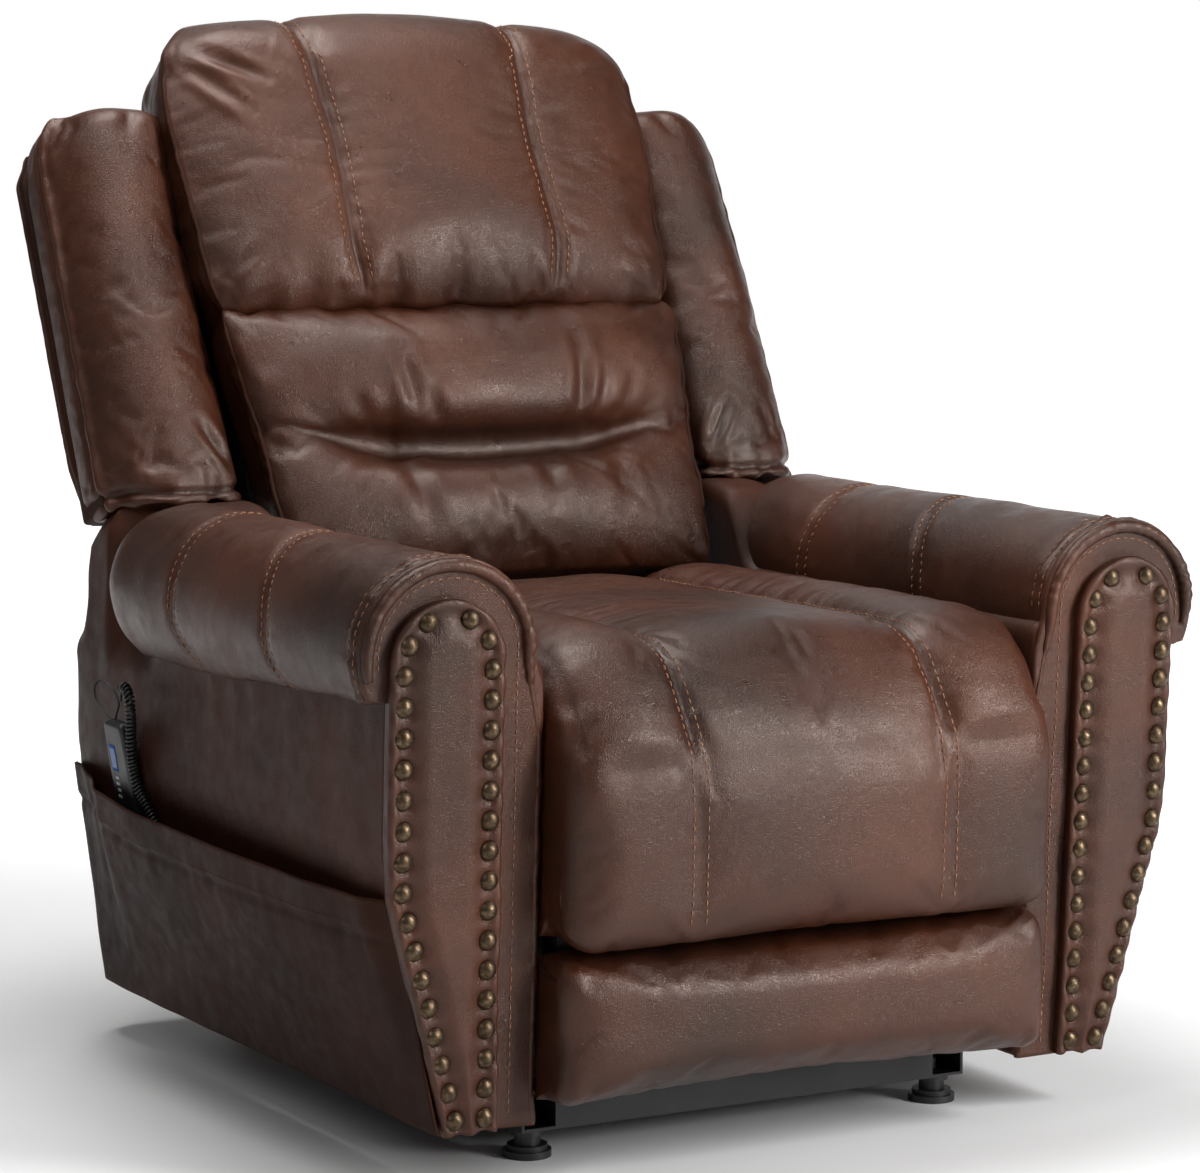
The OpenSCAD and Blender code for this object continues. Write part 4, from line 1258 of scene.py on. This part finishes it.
# ---------- handset ----------
def handset():
    """The wired handset: case that narrows to the cord gland, print on its face, and strap."""
    lean, half, height = math.radians(9.5), 0.0079, 0.16
    foot = np.array([-0.429, 0.16, 0.218])
    up = np.array([-math.sin(lean), 0, math.cos(lean)])
    out = np.array([math.cos(lean), 0, math.sin(lean)])
    width = table([(0, 0.046), (0.012, 0.053), (0.12, 0.054), (0.15, 0.05), (height, 0.044)])

    def placed(ring, h, lift=0.0):
        return foot + up * h + np.outer(ring[:, 1] + lift, out) + np.outer(ring[:, 0], (0, 1, 0))

    rings = []
    for h, by in stations(0.0, height, 0.003, (0.005, 0.005), (0.006, 0.006)):
        w = float(width(h)) / 2
        rings.append(placed(inset(bar(-w, w, -half, half, 0.004, 0.006, 72), by), h))
    finished(skin("handset_shell", rings, BLACK), "handset", "handset_case", slot="black_plastic")

    def plaque(name, y0, y1, h0, h1, finish, *replaced):
        """Thin raised print on the face."""
        ring = bar(y0, y1, 0.0, 0.0009, 0.0008, 0.0006, 24) * (1, -1)
        rings = [placed(ring, h, 0.0002 - half) for h in np.linspace(h0, h1, 6)]
        finished(skin(name, rings, finish), "handset", *replaced, slot="blue_print")

    plaque("handset_label_print", 0.001, 0.016, 0.106, 0.134, BLUE, "handset_label")
    for k in range(4):
        at = 0.076 + 0.007 * k
        plaque(f"handset_label_bar_{k}", 0.003, 0.013 - 0.002 * (k % 2), at, at + 0.003, PALE)
    a = np.linspace(0, 2 * math.pi, 60)
    loop = 0.03 * (1 - np.cos(a))
    wide = 0.0165 * np.sin(a) * (0.45 + 0.55 * smooth(loop / 0.035))
    root = foot + up * 0.157 + np.array([0, 0.013, 0])
    path = root + np.outer(loop * 0.8, (-0.08, 0.5, 0.86)) + np.outer(wide, (-0.45, 0.89, 0))
    strap = tube("handset_strap_loop", path, 0.0013, BLACK, sides=8)
    finished(strap, "handset", "handset_strap", slot="black_plastic")


handset()


# ---------- rear of the chair ----------
def rear_panel():
    """Outside back panel between the arms, with a soft flap up to the backrest."""
    lo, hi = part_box("seat_rear_panel")
    rings = []
    for z, by in stations(lo.z, hi.z, 0.006, (0.004, 0.003), (0.006, 0.004)):
        ring = inset(bar(lo.x, hi.x, hi.y - 0.01, hi.y, 0.002, 0.004, 180), by)
        rings.append(np.column_stack([ring, np.full(len(ring), z)]))
    # The rear panel takes the darker copy of the hide, which is painted shade.
    panel = skin("rear_panel_cover", rings, HIDE_PAINTED_SHADE)

    def shape(p):
        up = np.clip((p[:, 2] - lo.z) / (hi.z - lo.z), 0, 1)
        swell = 0.006 * (1 - (p[:, 0] / hi.x) ** 4) * np.sin(np.pi * up) ** 0.6
        return (swell + rumple(p, 0.0018, 8, 121)) * smooth((p[:, 1] - hi.y + 0.006) / 0.004)

    finished(dress(panel, shape), "chair", "seat_rear_panel", slot="dark_leather")
    start = np.array([hi.y - 0.004, hi.z - 0.004])
    end = on_back(0, 0.03, 0.028)[1:]
    half, thick, slack = 0.258, 0.0022, 1.08
    t = np.linspace(0, 1, 26)
    rings = []
    for x in np.linspace(-half, half, 90):
        line = start + np.outer(t, end - start)
        line[:, 1] -= (0.02 - 0.003 * np.sin(x * 60)) * np.sin(np.pi * t)
        rings.append(upright(x, np.vstack([line, (line - (0, thick))[::-1]])))
    # The flap also takes the darker copy of the hide, which is painted shade.
    flap = skin("rear_flap", rings, HIDE_PAINTED_SHADE)
    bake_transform(flap)
    length = float(norm(end - start)) * slack


rear_panel()


# ---------- floor and surroundings ----------
BEHIND = (0.473, 0.881, 0.0)
CONE_TIP = (-4.1 * BEHIND[0], -4.1 * BEHIND[1], 0)
FLOOR_GLOW = 0.95
FLOOR_HALF = 14
WHITE = (1, 1, 1, 1)


def floor():
    """Pale floor that glows behind the chair, inside a cone, until it meets the white of the studio: the glow
    is painted light, not a lamp.
    """
    look = new_look("pale_floor")
    ray = look.add("VectorMath", look.place, CONE_TIP, operation="SUBTRACT").outputs["Vector"]
    unit = look.add("VectorMath", ray, operation="NORMALIZE").outputs["Vector"]
    far = look.stepped(look.dot(look.place, BEHIND), 0.1, 2.6, 0.0, FLOOR_GLOW)
    inside = look.stepped(look.dot(unit, BEHIND), 0.82, 0.985, 0.15, 1.0)
    glow = look.add("Math", far, inside, operation="MULTIPLY").outputs["Value"]
    specks = look.ramp(look.texture("Noise", Scale=3.0, Detail=3.0), (0.3, 0.8), (0.7, 0.83))
    finish = look.finish(Base_Color=specks, Emission_Color=WHITE, Emission_Strength=glow, Roughness=0.6)
    corners = [(x * FLOOR_HALF, y * FLOOR_HALF, 0) for x, y in ((-1, -1), (1, -1), (1, 1), (-1, 1))]
    mesh_object("floor", corners, [(0, 1, 2, 3)], finish)


def studio(dim, bright):
    """Surroundings that are white in one direction, behind the chair, and dim in the others."""
    world = bpy.data.worlds.new("studio")
    bpy.context.scene.world = world
    look = Look(world, "Generated")
    level = look.stepped(look.dot(look.place, BEHIND), 0.84, 0.975, dim, bright)
    look.finish("Background", Color=WHITE, Strength=level)


floor()
studio(dim=0.12, bright=1.0)
bpy.context.scene.view_settings.view_transform = "Standard"
